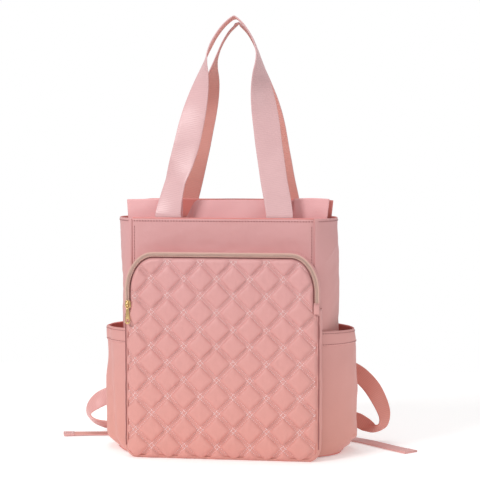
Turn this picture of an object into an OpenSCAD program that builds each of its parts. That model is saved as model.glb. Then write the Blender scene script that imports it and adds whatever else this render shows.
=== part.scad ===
// Soft diaper bag: open-topped zip tote with a quilted front pocket, two side pockets,
// two webbing handles and two backpack straps. The front faces -Y and the origin is the
// middle of the base, on the floor.

/* [Body] */
// Width of the flat front and back panels, seam to seam
panel_w = 256; // [252:1:262]
// Depth of the body, front panel to back panel
body_d = 130; // [126:1:134]
// Height of the body up to its top hem
body_h = 338; // [334:1:344]
// How far each side gusset bows out beyond the seams
gusset_bow = 30; // [26:1:32]
// Thickness of a body panel
wall = 3; // [2:0.5:3.5]

/* [Top closure] */
// Height of the two closure flaps above the top hem
collar_h = 26; // [22:1:30]
// Distance between the two closure flaps
collar_gap = 64; // [56:1:70]

/* [Front pocket] */
// Width of the quilted pocket
pocket_w = 274; // [266:1:276]
// Height of the quilted pocket's top edge
pocket_h = 292; // [286:1:294]
// How far the pocket stands out from the front panel
pocket_d = 30; // [26:1:34]
// Thickness of the quilted face
quilt_t = 5; // [4:0.5:6]
// Height of the two ends of the pocket zip
zip_end_z = 214; // [208:1:220]

/* [Side pockets] */
// Height of the side pockets
side_h = 180; // [170:1:190]
// How far a side pocket stands out beyond the seams
side_bow = 54; // [50:1:58]
// Height of the folded hem at a side pocket's mouth
side_hem_h = 21; // [16:1:24]

/* [Handles] */
// Width of the handle webbing
handle_w = 38; // [34:1:38]
// Thickness of the handle webbing
handle_t = 2; // [1.5:0.1:2.2]

/* [Shoulder straps] */
// Width of a padded shoulder strap
strap_w = 58; // [50:1:62]
// Thickness of a padded shoulder strap
strap_t = 10; // [8:0.5:11]
// Width of the adjusting webbing
web_w = 25; // [20:1:25]
// Thickness of the adjusting webbing
web_t = 1.6; // [1.2:0.1:1.8]

/* [Hidden] */
$fn = 96;

// Colours
c_body = "lightpink";
c_salmon = "salmon";
c_quilt = "pink";
c_web = "mistyrose";
c_zip = "rosybrown";
c_gold = "goldenrod";
c_lining = "lavenderblush";
c_board = "dimgray";
c_foam = "whitesmoke";

// Clearances between soft pieces
gap = 0.3;
lining_t = 0.8;
board_t = 3;

front_y = -body_d / 2;
back_y = body_d / 2;
half_w = panel_w / 2;

// Radius of the arc through the two seams of a side and its widest point
function bow_r(bow) = (pow(body_d / 2, 2) + pow(bow, 2)) / (2 * bow);
// Distance of that arc's centre from the middle plane
function bow_x(bow) = half_w + bow - bow_r(bow);

// Plan outline of the body, moved in by the given amount
module body_outline(inset) {
    square([2 * (half_w - inset), body_d - 2 * inset], center = true);
    for (s = [-1, 1]) {
        intersection() {
            translate([s * bow_x(gusset_bow), 0]) circle(bow_r(gusset_bow) - inset);
            translate([s * (half_w + 100) / 2, 0]) square([half_w + 100, body_d - 2 * inset], center = true);
        }
    }
}

// Crescent between two bowed arcs outside a side seam; side is -1 or 1
module side_ring(side, bow, offset_out, thick) {
    difference() {
        intersection() {
            translate([side * bow_x(bow), 0]) circle(bow_r(bow) + offset_out);
            translate([side * (half_w + 100), 0]) square([200, body_d], center = true);
        }
        translate([side * bow_x(bow), 0]) circle(bow_r(bow) + offset_out - thick);
    }
}

// ---- Body ----
module panel(y) {
    translate([-half_w, y, wall]) cube([panel_w, wall, body_h - wall]);
}

module front_panel() {
    color(c_body) panel(front_y);
}

module back_panel() {
    color(c_body) panel(back_y - wall);
}

module gusset(side) {
    color(c_body)
        translate([0, 0, wall])
            linear_extrude(body_h - wall) side_ring(side, gusset_bow, 0, wall);
}

module bottom_panel() {
    color(c_salmon) linear_extrude(wall) body_outline(0);
}

// Stiffener that keeps the base flat
module base_board() {
    board_w = panel_w - 12;
    board_d = body_d - 12;
    color(c_board) translate([-board_w / 2, -board_d / 2, wall]) cube([board_w, board_d, board_t]);
}

// Loose inner bag, open at the top
module lining() {
    floor_z = wall + board_t;
    color(c_lining) difference() {
        translate([0, 0, floor_z]) linear_extrude(body_h - 24 - floor_z) body_outline(wall);
        translate([0, 0, floor_z + lining_t]) linear_extrude(body_h) body_outline(wall + lining_t);
    }
}

// ---- Top closure ----
flap_t = 2;
flap_y = collar_gap / 2;
collar_top = body_h + collar_h;
// Height where the closure strip meets the panel, inside the bag
strip_z = body_h - 24;
strip_rise = 18;

// Sloping closure strip that turns up into a flap; side is -1 for the front, 1 for the back
module collar(side) {
    inner_y = body_d / 2 - wall - gap;
    bend_z = strip_z + strip_rise;
    profile = [
        [inner_y, strip_z], [inner_y, strip_z + flap_t], [flap_y + flap_t, bend_z + flap_t],
        [flap_y + flap_t, collar_top], [flap_y, collar_top], [flap_y, bend_z]
    ];
    color(c_body) intersection() {
        translate([-200, 0, 0])
            rotate([90, 0, 90]) linear_extrude(400) mirrored_section(side) polygon(profile);
        linear_extrude(collar_top + 1) body_outline(wall + gap);
    }
}

// Mirrors a section across the middle plane when the side is -1
module mirrored_section(side) {
    if (side < 0) mirror([1, 0]) children();
    else children();
}

top_zip_z = body_h - 3;
tape_t = 0.8;
coil_w = 4.8;
coil_t = 2.2;
top_zip_half = half_w + 10;

module top_zip_tape(side) {
    tape_w = flap_y - gap - coil_w / 2 - 0.1;
    y0 = side < 0 ? -flap_y + gap : coil_w / 2 + 0.1;
    color(c_zip) translate([-top_zip_half, y0, top_zip_z]) cube([2 * top_zip_half, tape_w, tape_t]);
}

module top_zip_coil() {
    color(c_zip)
        translate([-top_zip_half, -coil_w / 2, top_zip_z - 0.4]) cube([2 * top_zip_half, coil_w, coil_t]);
}

// Small fabric tabs that close both ends of the top zip
module top_zip_end_tabs() {
    tab_l = 8;
    color(c_body) for (s = [-1, 1]) {
        translate([s * (top_zip_half + gap + tab_l / 2), 0, top_zip_z + tape_t / 2])
            cube([tab_l, 2 * (flap_y - gap), 2], center = true);
    }
}

slider_l = 11;
slider_w = 9;
slider_plate_t = 1.6;
bridge_h = 4;
bridge_l = 7;
bridge_t = 1.1;
pull_pin_r = 0.8;
pull_t = 1.6;
pull_w = 7;

// Slider plate with its bridge, lying along X with the bridge up
module slider_shape() {
    translate([0, 0, slider_plate_t / 2]) cube([slider_l, slider_w, slider_plate_t], center = true);
    translate([0, 1.1, slider_plate_t]) rotate([90, 0, 0]) linear_extrude(2.2) difference() {
        translate([-bridge_l / 2, -0.1]) square([bridge_l, bridge_h + 0.1]);
        translate([-bridge_l / 2 + bridge_t, 0]) square([bridge_l - 2 * bridge_t, bridge_h - bridge_t]);
    }
}

// Pull tab with an eye round the bridge; its pin is on the origin, along Y, and it lies along +X
module pull_shape(len) {
    translate([0, 2.8, 0]) rotate([90, 0, 0]) cylinder(r = pull_pin_r, h = 5.6, $fn = 24);
    for (s = [-1, 1]) {
        translate([-0.8, s * 2.8 - 0.7, -0.8]) cube([8, 1.4, pull_t]);
    }
    difference() {
        union() {
            translate([5.5, -pull_w / 2, -0.8]) cube([len - 9, pull_w, pull_t]);
            translate([len - 3.5, 0, -0.8]) cylinder(r = pull_w / 2, h = pull_t, $fn = 48);
        }
        translate([len - 5, 0, -1]) cylinder(r = 1.6, h = 2, $fn = 32);
    }
}

top_slider_x = -top_zip_half + 10;
top_slider_z = top_zip_z - 0.4 + coil_t + gap;
pin_lift = slider_plate_t + 1.35;

module top_zip_slider() {
    color(c_gold) translate([top_slider_x, 0, top_slider_z]) slider_shape();
}

module top_zip_pull() {
    color(c_gold) translate([top_slider_x, 0, top_slider_z + pin_lift]) pull_shape(24);
}

// ---- Front pocket ----
corner_w = 40;
corner_h = 55;
corner_steps = 10;
pocket_face_y = front_y - pocket_d;
quilt_back_y = pocket_face_y + quilt_t;
pocket_floor_z = 1;
foot_r = 16;

// Quarter ellipse from angle a0 to a0 + 90, about a centre
function quarter(cx, cz, rx, rz, a0, steps) =
    [for (i = [0 : steps]) [cx + rx * cos(a0 + 90 * i / steps), cz + rz * sin(a0 + 90 * i / steps)]];

// Front outline of the pocket, moved in by the given amount
function arch(inset) = let (
    hw = pocket_w / 2 - inset,
    top = pocket_h - inset,
    low = pocket_floor_z + inset,
    rx = corner_w - inset,
    rz = corner_h - inset,
    rf = foot_r - inset
) concat(
    quarter(hw - rx, top - rz, rx, rz, 0, corner_steps),
    quarter(-hw + rx, top - rz, rx, rz, 90, corner_steps),
    quarter(-hw + rf, low + rf, rf, rf, 180, 5),
    quarter(hw - rf, low + rf, rf, rf, 270, 5)
);

// Extrudes an upright outline between two depths
module upright(y0, y1) {
    translate([0, y1, 0]) rotate([90, 0, 0]) linear_extrude(y1 - y0) children();
}

module arch_band(inset, width) {
    difference() {
        polygon(arch(inset));
        polygon(arch(inset + width));
    }
}

// Upright region above the zip ends, lifted by the given amount
module above_zip_ends(lift = 0) {
    translate([-200, zip_end_z + lift]) square([400, 200]);
}

// Insets of the pieces that ring the pocket, from the outside in
gusset_in = 2;
outer_tape_in = 0.6;
coil_in = 3.4;
inner_tape_in = 5.8;
face_in = 8.6;
ring_y = quilt_back_y + gap;
coil_in_w = 2.2;
stop_l = 3;
// Distance of the straight part of the zip from the middle plane
zip_line_x = pocket_w / 2 - coil_in - coil_in_w / 2;
// Front of the zip tapes, just behind the front of the quilted face
zip_y = pocket_face_y + 0.7;

module pocket_face() {
    shoulder = zip_end_z - 14;
    half_low = pocket_w / 2 - 0.5;
    color(c_quilt) upright(pocket_face_y, quilt_back_y) {
        polygon(arch(face_in));
        intersection() {
            polygon(arch(0.5));
            polygon([[-half_low, 0], [half_low, 0], [half_low, shoulder], [half_low - face_in, zip_end_z],
                     [face_in - half_low, zip_end_z], [-half_low, shoulder]]);
        }
    }
}

module pocket_upper_gusset() {
    color(c_body) upright(zip_y + tape_t + gap, front_y - gap) intersection() {
        arch_band(0, gusset_in);
        above_zip_ends();
    }
}

module pocket_lower_gusset() {
    color(c_salmon) upright(ring_y, front_y - gap) difference() {
        arch_band(0, gusset_in);
        translate([0, -gap]) above_zip_ends();
    }
}

module pocket_zip_band(inset, width, y0, thick, lift) {
    color(c_zip) upright(y0, y0 + thick) intersection() {
        arch_band(inset, width);
        above_zip_ends(lift);
    }
}

module pocket_zip_tape_outer() {
    pocket_zip_band(outer_tape_in, 2.6, zip_y, tape_t, 0);
}

module pocket_zip_coil() {
    pocket_zip_band(coil_in, coil_in_w, zip_y - 0.7, 2, stop_l + gap);
}

module pocket_zip_tape_inner() {
    pocket_zip_band(inner_tape_in, 2.6, zip_y, tape_t, 0);
}

// Metal stops at both ends of the pocket zip
module pocket_zip_stops() {
    color(c_gold) for (s = [-1, 1]) {
        translate([s * zip_line_x, zip_y + 0.3, zip_end_z + stop_l / 2]) cube([coil_in_w, 2, stop_l], center = true);
    }
}

zip_slider_x = -zip_line_x;
zip_slider_y = zip_y - 0.7 - gap;
zip_slider_z = zip_end_z + 4.5;

module pocket_zip_slider() {
    color(c_gold)
        translate([zip_slider_x, zip_slider_y, zip_slider_z])
            rotate([90, 90, 0]) slider_shape();
}

module pocket_zip_pull() {
    color(c_gold)
        translate([zip_slider_x, zip_slider_y - pin_lift, zip_slider_z])
            rotate([90, 90, 0]) pull_shape(28);
}

// ---- Side pockets ----
side_wall = 2.4;
side_floor = 2;

module side_pocket(side) {
    color(c_body) difference() {
        union() {
            translate([0, 0, side_floor])
                linear_extrude(side_h - side_hem_h - side_floor) side_ring(side, side_bow, 0, side_wall);
            translate([0, 0, side_floor]) linear_extrude(side_wall) side_ring(side, side_bow, 0, 50);
        }
        gusset_space(side);
    }
}

module pocket_hem(side) {
    color(c_body) difference() {
        translate([0, 0, side_h - side_hem_h])
            linear_extrude(side_hem_h) side_ring(side, side_bow, 0.6, side_wall + 0.6);
        gusset_space(side);
    }
}

// The body's own side, which the side pockets are cut to fit round
module gusset_space(side) {
    translate([side * bow_x(gusset_bow), 0, -1]) cylinder(r = bow_r(gusset_bow) + gap / 2, h = body_h + 2);
}

// ---- Webbing ----
function unit(v) = v / norm(v);
function tangent(p, i) = unit(p[min(i + 1, len(p) - 1)] - p[max(i - 1, 0)]);
// Width direction at a point, squared up to the run of the webbing
function across(p, w, i) = let (t = tangent(p, i)) unit(w[i] - (w[i] * t) * t);

// Flat webbing swept along points; widths gives the direction of its width at each point
module ribbon(points, widths, wide, thick) {
    rings = [for (i = [0 : len(points) - 1]) let (
        a = across(points, widths, i) * wide / 2,
        b = cross(tangent(points, i), across(points, widths, i)) * thick / 2
    ) each [points[i] - a - b, points[i] + a - b, points[i] + a + b, points[i] - a + b]];
    last = 4 * (len(points) - 1);
    // The two broad faces are split along the same diagonal, so that a twist keeps its thickness
    walls = [for (i = [0 : len(points) - 2]) for (k = [0 : 3]) let (
        p0 = 4 * i + k,
        p1 = 4 * i + (k + 1) % 4
    ) each k == 2 ? [[p0, p1, p0 + 4], [p1, p1 + 4, p0 + 4]] : [[p0, p1, p1 + 4], [p0, p1 + 4, p0 + 4]]];
    ends = [[2, 1, 0], [3, 2, 0], [last, last + 1, last + 2], [last, last + 2, last + 3]];
    polyhedron(points = rings, faces = [for (f = concat(walls, ends)) [f[2], f[1], f[0]]]);
}

// ---- Handles ----
handle_foot_z = body_h + 1.5;
handle_foot_y = body_d / 2 - wall - 2 * gap - handle_t / 2;
// Half of a handle from its foot to its top: distance from the middle, height above the hem, twist
handle_half = [
    [78, 0, 0], [78, 6, 0], [74, 26, 0], [68, 52, 0], [63, 78, 0], [58, 104, 3], [54, 128, 8], [50, 150, 18],
    [46, 172, 33], [43, 190, 48], [41, 205, 62], [39.5, 218, 76], [37, 231, 86], [32, 245, 90],
    [25, 259, 90], [16, 272, 90], [7, 281, 90]
];
handle_rise = 281;
handle_top_y = handle_w / 2 + 1.2;
handle_top_x = 6;

// The foot rises straight out of the hem before the leg leans in
function handle_side(s) = [for (h = handle_half) let (f = max(h[1] - handle_half[1][1], 0) / handle_rise)
    [s * h[0] + handle_top_x * f, handle_foot_y + (handle_top_y - handle_foot_y) * f, handle_foot_z + h[1]]];
function handle_twist(s) = [for (h = handle_half) [-s * cos(h[2]), sin(h[2]), 0]];
function flip(list) = [for (i = [len(list) - 1 : -1 : 0]) list[i]];
handle_crown = [[handle_top_x, handle_top_y, handle_foot_z + handle_rise + 3]];

// Webbing loop of one handle, at the back of the bag
module handle_loop() {
    ribbon(
        concat(handle_side(-1), handle_crown, flip(handle_side(1))),
        concat(handle_twist(-1), [[0, 1, 0]], flip(handle_twist(1))),
        handle_w, handle_t
    );
}

module front_handle() {
    color(c_web) mirror([0, 1, 0]) handle_loop();
}

module back_handle() {
    color(c_web) handle_loop();
}

// Sewn ends of a handle, behind the top hem
module handle_ends() {
    end_z = strip_z + 5;
    for (s = [-1, 1]) {
        translate([s * 78 - handle_w / 2, handle_foot_y - handle_t / 2, end_z])
            cube([handle_w, handle_t, handle_foot_z - gap - end_z]);
    }
}

module front_handle_ends() {
    color(c_web) mirror([0, 1, 0]) handle_ends();
}

module back_handle_ends() {
    color(c_web) handle_ends();
}

// ---- Shoulder straps ----
strap_pivot_z = body_h - 17;
strap_y = back_y + 1.5;
strap_len = 176;
strap_lean = 6;
strap_top_x = 48;
cover_t = 1.5;

// Patch that covers the sewn tops of both straps
module strap_yoke() {
    color(c_salmon) translate([-84, back_y, strap_pivot_z + 1]) cube([168, 2.4, 13]);
}

// Places a strap's own frame: its top edge on the pivot line, hanging down along -Z
module on_strap(side) {
    translate([side * strap_top_x, strap_y, strap_pivot_z - 3.5]) rotate([0, -side * strap_lean, 0]) children();
}

// Strap outline: square at the top, round corners at the bottom, moved in by the given amount
module strap_solid(inset) {
    w = strap_w - 2 * inset;
    corner = 12;
    translate([0, strap_t - inset, 0]) rotate([90, 0, 0]) linear_extrude(strap_t - 2 * inset) {
        translate([-w / 2, -strap_len + inset + corner]) square([w, strap_len - 2 * inset - corner]);
        translate([-w / 2 + corner, -strap_len + inset]) square([w - 2 * corner, corner + 1]);
        for (s = [-1, 1]) {
            translate([s * (w / 2 - corner), -strap_len + inset + corner]) circle(corner);
        }
    }
}

module shoulder_strap(side) {
    color(c_body) on_strap(side) difference() {
        strap_solid(0);
        strap_solid(cover_t);
    }
}

module strap_foam(side) {
    color(c_foam) on_strap(side) strap_solid(cover_t + 0.1);
}

lock_w = 34;
lock_h = 30;
lock_t = 5;
bar = 4;
lock_y = strap_t / 2;
lock_top = -strap_len - 7;

// Webbing loop that holds the ladder lock at the strap's foot
module lock_loop(side) {
    reach = 7 + bar + 1.2;
    color(c_web) on_strap(side)
        translate([-web_w / 2, 0, -strap_len - 0.1]) rotate([90, 0, 90]) linear_extrude(web_w) difference() {
            translate([lock_y - lock_t / 2 - 2, -reach]) square([lock_t + 4, reach]);
            translate([lock_y - lock_t / 2 - gap, -reach + 1.2]) square([lock_t + 2 * gap, reach - 3]);
        }
}

// Moulded buckle with an upper slot for the loop and a lower pair for the adjusting webbing
module ladder_lock(side) {
    slot_w = web_w + 1.6;
    color(c_salmon) on_strap(side) difference() {
        translate([-lock_w / 2, lock_y - lock_t / 2, lock_top - lock_h]) cube([lock_w, lock_t, lock_h]);
        translate([-slot_w / 2, lock_y - lock_t, lock_top - bar - 7]) cube([slot_w, 2 * lock_t, 7]);
        translate([-slot_w / 2, lock_y - lock_t, lock_top - 2 * bar - 11.5]) cube([slot_w, 2 * lock_t, 4.5]);
        translate([-slot_w / 2, lock_y - lock_t, lock_top - 3 * bar - 14]) cube([slot_w, 2 * lock_t, 3]);
    }
}

// Routes of the adjusting webbing, from the ladder lock to the anchor, and its width directions
left_route = [
    [-88, 75, 96], [-115, 77, 93], [-140, 78, 88], [-165, 77, 79], [-188, 76, 66],
    [-212, 75, 53], [-229, 74, 42], [-235, 73, 31], [-228, 72, 20], [-208, 71, 16], [-182, 70, 15],
    [-157, 69, 16], [-140, 68.6, 18]
];
left_widths = [
    [0, 0, 1], [0, 0, 1], [0, 0, 1], [0, 0.1, 1], [0, 0.1, 1], [0, 0.1, 1], [0, 0.3, 1],
    [0.8, 0.5, 0.1], [0, 0.8, -0.5], [0, 0.8, -0.5], [0, 0.7, -0.6], [0, 0.3, -0.9], [0, 0.05, -1]
];
right_route = [
    [91, 75, 103], [115, 78, 108], [140, 78, 112], [162, 77, 110], [182, 76, 101],
    [200, 75, 84], [214, 74, 62], [224, 73, 42], [226, 72, 27], [214, 71, 21], [198, 70, 28],
    [178, 69.6, 31], [158, 69.4, 26], [142, 69.4, 18]
];
right_widths = [
    [0, 0, 1], [0, 0, 1], [0, 0, 1], [0, 0.1, 1], [0, 0.1, 1], [0, 0.1, 1], [0, 0.1, 1],
    [0, 0.3, 1], [-0.8, 0.5, 0.1], [0, 0.8, -0.5], [0, 0.7, -0.6], [0, 0.5, -0.8], [0, 0.1, -1], [0, 0, -1]
];
// The free tails, from the ladder locks down to the floor and out to their folded ends
left_tail_route = [
    [-69, 84, 102], [-76, 88, 76], [-86, 91, 50], [-100, 93, 26], [-118, 93, 9], [-138, 90, 3],
    [-165, 86, 1.6], [-195, 80, 1.6], [-225, 76, 1.6], [-252, 74, 1.6]
];
left_tail_widths = [
    [1, 0, 0], [1, 0.1, 0.3], [1, 0.3, 0.5], [0.8, 0.6, 0.6], [0.2, 1, 0.2], [0, 1, 0],
    [0, 1, 0], [0, 1, 0], [0, 1, 0], [0, 1, 0]
];
right_tail_route = [
    [69, 84, 102], [78, 88, 76], [90, 91, 50], [105, 94, 26], [124, 95, 9], [146, 92, 3],
    [170, 82, 1.6], [193, 64, 1.6], [214, 43, 1.6], [234, 22, 1.6], [252, 4, 1.6]
];
right_tail_widths = [
    [-1, 0, 0], [-1, 0.1, 0.3], [-1, 0.3, 0.5], [-0.8, 0.6, 0.6], [-0.2, 1, 0.2], [0.1, 1, 0],
    [0.5, 1, 0], [0.8, 1, 0], [1, 1, 0], [1, 1, 0], [1, 1, 0]
];

module left_lower_webbing() {
    color(c_web) ribbon(left_route, left_widths, web_w, web_t);
}

module right_lower_webbing() {
    color(c_web) ribbon(right_route, right_widths, web_w, web_t);
}

module left_webbing_tail() {
    color(c_web) ribbon(left_tail_route, left_tail_widths, web_w, web_t);
}

module right_webbing_tail() {
    color(c_web) ribbon(right_tail_route, right_tail_widths, web_w, web_t);
}

// Folded and stitched end of a tail, lying on the floor along a heading
module tail_hem(end, heading) {
    hem_l = 16;
    hem_t = 2.8;
    color(c_web)
        translate([end[0], end[1], 0.2]) rotate([0, 0, heading])
            translate([0.1, -web_w / 2, 0]) cube([hem_l, web_w, hem_t]);
}

function heading(p) = let (t = tangent(p, len(p) - 1)) atan2(t[1], t[0]);

// Fabric tab at a lower back corner that anchors the adjusting webbing
module anchor_tab(side) {
    color(c_body) translate([side * 123 - 15, back_y, 4]) cube([30, 2.6, 26]);
}

front_panel();
back_panel();
gusset(-1);  // left_gusset
gusset(1);  // right_gusset
bottom_panel();
base_board();
lining();
collar(-1);  // collar_front
collar(1);  // collar_back
top_zip_tape(-1);  // top_zip_tape_front
top_zip_tape(1);  // top_zip_tape_back
top_zip_coil();
top_zip_end_tabs();
top_zip_slider();
top_zip_pull();
pocket_face();
pocket_upper_gusset();
pocket_lower_gusset();
pocket_zip_tape_inner();
pocket_zip_tape_outer();
pocket_zip_coil();
pocket_zip_stops();
pocket_zip_slider();
pocket_zip_pull();
side_pocket(-1);  // left_side_pocket
side_pocket(1);  // right_side_pocket
pocket_hem(-1);  // left_pocket_hem
pocket_hem(1);  // right_pocket_hem
front_handle();
front_handle_ends();
back_handle();
back_handle_ends();
strap_yoke();
shoulder_strap(-1);  // left_shoulder_strap
shoulder_strap(1);  // right_shoulder_strap
strap_foam(-1);  // left_strap_foam
strap_foam(1);  // right_strap_foam
lock_loop(-1);  // left_lock_loop
lock_loop(1);  // right_lock_loop
ladder_lock(-1);  // left_ladder_lock
ladder_lock(1);  // right_ladder_lock
left_lower_webbing();
right_lower_webbing();
left_webbing_tail();
right_webbing_tail();
union() {  // left_tail_hem
    tail_hem(left_tail_route[len(left_tail_route) - 1], heading(left_tail_route));
}
union() {  // right_tail_hem
    tail_hem(right_tail_route[len(right_tail_route) - 1], heading(right_tail_route));
}
anchor_tab(-1);  // left_anchor_tab
anchor_tab(1);  // right_anchor_tab
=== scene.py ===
"""Looks of a soft pink diaper bag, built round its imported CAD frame.

Shapes are worked out in millimetres in the frame's own axes: the bag's front faces -Y and it
stands on z = 0. Each visible piece replaces the plain CAD node that it stands for.
"""
import math

import bmesh
import bpy
import numpy as np
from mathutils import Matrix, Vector


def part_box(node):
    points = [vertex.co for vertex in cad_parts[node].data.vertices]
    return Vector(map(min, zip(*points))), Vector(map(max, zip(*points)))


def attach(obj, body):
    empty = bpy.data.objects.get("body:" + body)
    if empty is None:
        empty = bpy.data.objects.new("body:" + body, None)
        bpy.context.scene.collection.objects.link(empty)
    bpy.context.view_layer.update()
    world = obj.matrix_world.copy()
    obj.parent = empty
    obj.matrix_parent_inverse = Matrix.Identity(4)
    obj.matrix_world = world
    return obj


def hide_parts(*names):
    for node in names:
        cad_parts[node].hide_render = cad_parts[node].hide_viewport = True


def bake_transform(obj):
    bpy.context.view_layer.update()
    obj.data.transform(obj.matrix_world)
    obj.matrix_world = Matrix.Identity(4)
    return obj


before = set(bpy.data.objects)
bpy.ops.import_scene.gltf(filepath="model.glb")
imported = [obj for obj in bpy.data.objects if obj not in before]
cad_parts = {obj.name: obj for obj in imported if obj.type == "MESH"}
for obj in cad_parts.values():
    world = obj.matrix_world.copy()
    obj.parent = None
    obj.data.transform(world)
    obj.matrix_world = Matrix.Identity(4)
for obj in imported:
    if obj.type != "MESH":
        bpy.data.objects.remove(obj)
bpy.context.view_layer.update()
MM = 0.001


# ---------------------------------------------------------------- camera, stage and light
CAMERA_AZIMUTH = math.radians(8.0)
CAMERA_DISTANCE, CAMERA_HEIGHT = 2.15, 0.4277
AIM_ASIDE, AIM_HEIGHT = 0.0133, 0.3047
LENS_MM, SENSOR_MM = 110.9, 36.0
AMBIENT = 0.55
FLOOR_HALF, FLOOR_GLOW = 0.8, 0.2
FLOOR_COLOUR = (0.97, 0.96, 0.955, 1.0)
WHITE = (1.0, 1.0, 1.0, 1.0)
# Name, place, width in metres and power in watts
LAMPS = (("key", (-1.5, -1.9, 1.9), 0.7, 39.0), ("top", (-0.2, 0.2, 2.2), 1.0, 12.0),
         ("fill", (1.9, -1.0, 0.9), 1.2, 7.0))


def add_object(name, data):
    thing = bpy.data.objects.new(name, data)
    bpy.context.scene.collection.objects.link(thing)
    return thing


def add_camera():
    """A long lens a little above the bag's middle, turned a few degrees to its right."""
    across, away = math.cos(CAMERA_AZIMUTH), math.sin(CAMERA_AZIMUTH)
    aim = Vector((AIM_ASIDE * across, AIM_ASIDE * away, AIM_HEIGHT))
    place = aim + Vector((away, -across, 0.0)) * CAMERA_DISTANCE
    place.z = CAMERA_HEIGHT
    camera = add_object("camera", bpy.data.cameras.new("camera"))
    camera.data.lens = LENS_MM
    camera.data.sensor_width = SENSOR_MM
    camera.data.clip_end = 50.0
    camera.location = place
    camera.rotation_euler = (aim - place).to_track_quat("-Z", "Y").to_euler()
    bpy.context.scene.camera = camera


def add_stage():
    """Pale floor, bright surroundings, a soft key from the upper left and a weak fill."""
    world = bpy.data.worlds.new("studio")
    world.use_nodes = True
    nodes, links = world.node_tree.nodes, world.node_tree.links
    ambient, seen = nodes["Background"], nodes.new("ShaderNodeBackground")
    for background in (ambient, seen):
        background.inputs["Color"].default_value = WHITE
    ambient.inputs["Strength"].default_value = AMBIENT
    choice = nodes.new("ShaderNodeMixShader")
    links.new(nodes.new("ShaderNodeLightPath").outputs["Is Camera Ray"], choice.inputs[0])
    links.new(ambient.outputs[0], choice.inputs[1])
    links.new(seen.outputs[0], choice.inputs[2])
    links.new(choice.outputs[0], nodes["World Output"].inputs["Surface"])
    bpy.context.scene.world = world
    bpy.context.scene.view_settings.view_transform = "Standard"
    for name, place, width, power in LAMPS:
        lamp = add_object(name, bpy.data.lights.new(name, "AREA"))
        lamp.data.shape = "SQUARE"
        lamp.data.size = width
        lamp.data.energy = power
        lamp.location = place
        lamp.rotation_euler = (Vector((0, 0, 0.25)) - Vector(place)).to_track_quat("-Z", "Y").to_euler()
    mesh = bpy.data.meshes.new("floor")
    corners = [(x * FLOOR_HALF, y * FLOOR_HALF, 0) for x, y in ((-1, -1), (1, -1), (1, 1), (-1, 1))]
    mesh.from_pydata(corners, [], [(0, 1, 2, 3)])
    paint = Nodes("floor_paint")
    mesh.materials.append(paint.finish(Base_Color=FLOOR_COLOUR, Roughness=0.9, Emission_Color=WHITE,
                                       Emission_Strength=FLOOR_GLOW))
    add_object("floor", mesh)


# ---------------------------------------------------------------- materials
class Nodes:
    """A short way to write a node tree."""

    def __init__(self, name):
        self.material = bpy.data.materials.new(name)
        self.material.use_nodes = True
        self.tree = self.material.node_tree
        self.shader = self.tree.nodes["Principled BSDF"]

    def add(self, kind, settings=None, **inputs):
        node = self.tree.nodes.new(kind)
        for key, value in (settings or {}).items():
            setattr(node, key, value)
        for key, value in inputs.items():
            self.put(node.inputs[key.replace("_", " ")], value)
        return node

    def put(self, socket, value):
        if isinstance(value, bpy.types.NodeSocket):
            self.tree.links.new(value, socket)
        else:
            socket.default_value = value

    def place(self):
        return self.add("ShaderNodeTexCoord").outputs["Object"]

    def math(self, operation, a, b=0.0):
        node = self.add("ShaderNodeMath", {"operation": operation})
        self.put(node.inputs[0], a)
        self.put(node.inputs[1], b)
        return node.outputs[0]

    def times(self, a, b):
        return self.math("MULTIPLY", a, b)

    def plus(self, a, b):
        return self.math("ADD", a, b)

    def mix(self, share, a, b):
        node = self.add("ShaderNodeMix", {"data_type": "RGBA"})
        for key, value in (("Factor", share), ("A", a), ("B", b)):
            self.put(node.inputs[key], value)
        return node.outputs["Result"]

    def noise(self, vector, scale, detail=3.0):
        return self.add("ShaderNodeTexNoise", None, Vector=vector, Scale=scale, Detail=detail).outputs["Fac"]

    def wave(self, vector, direction, period_mm):
        """Bands across one axis of the object, with the given period."""
        scale = 2 * math.pi / 20 / (period_mm * MM)
        settings = {"wave_type": "BANDS", "bands_direction": direction}
        return self.add("ShaderNodeTexWave", settings, Vector=vector, Scale=scale).outputs["Fac"]

    def stretch(self, value, low, high):
        node = self.add("ShaderNodeMapRange", None, Value=value, From_Min=low, From_Max=high)
        return node.outputs["Result"]

    def bump(self, height, strength, distance_mm, normal=None):
        node = self.add("ShaderNodeBump", None, Height=height, Strength=strength, Distance=distance_mm * MM)
        if normal is not None:
            self.put(node.inputs["Normal"], normal)
        return node.outputs["Normal"]

    def finish(self, **sockets):
        for key, value in sockets.items():
            self.put(self.shader.inputs[key.replace("_", " ")], value)
        return self.material


def rgba(colour, scale=1.0):
    return tuple(min(channel * scale, 1.0) for channel in colour) + (1.0,)


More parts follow.
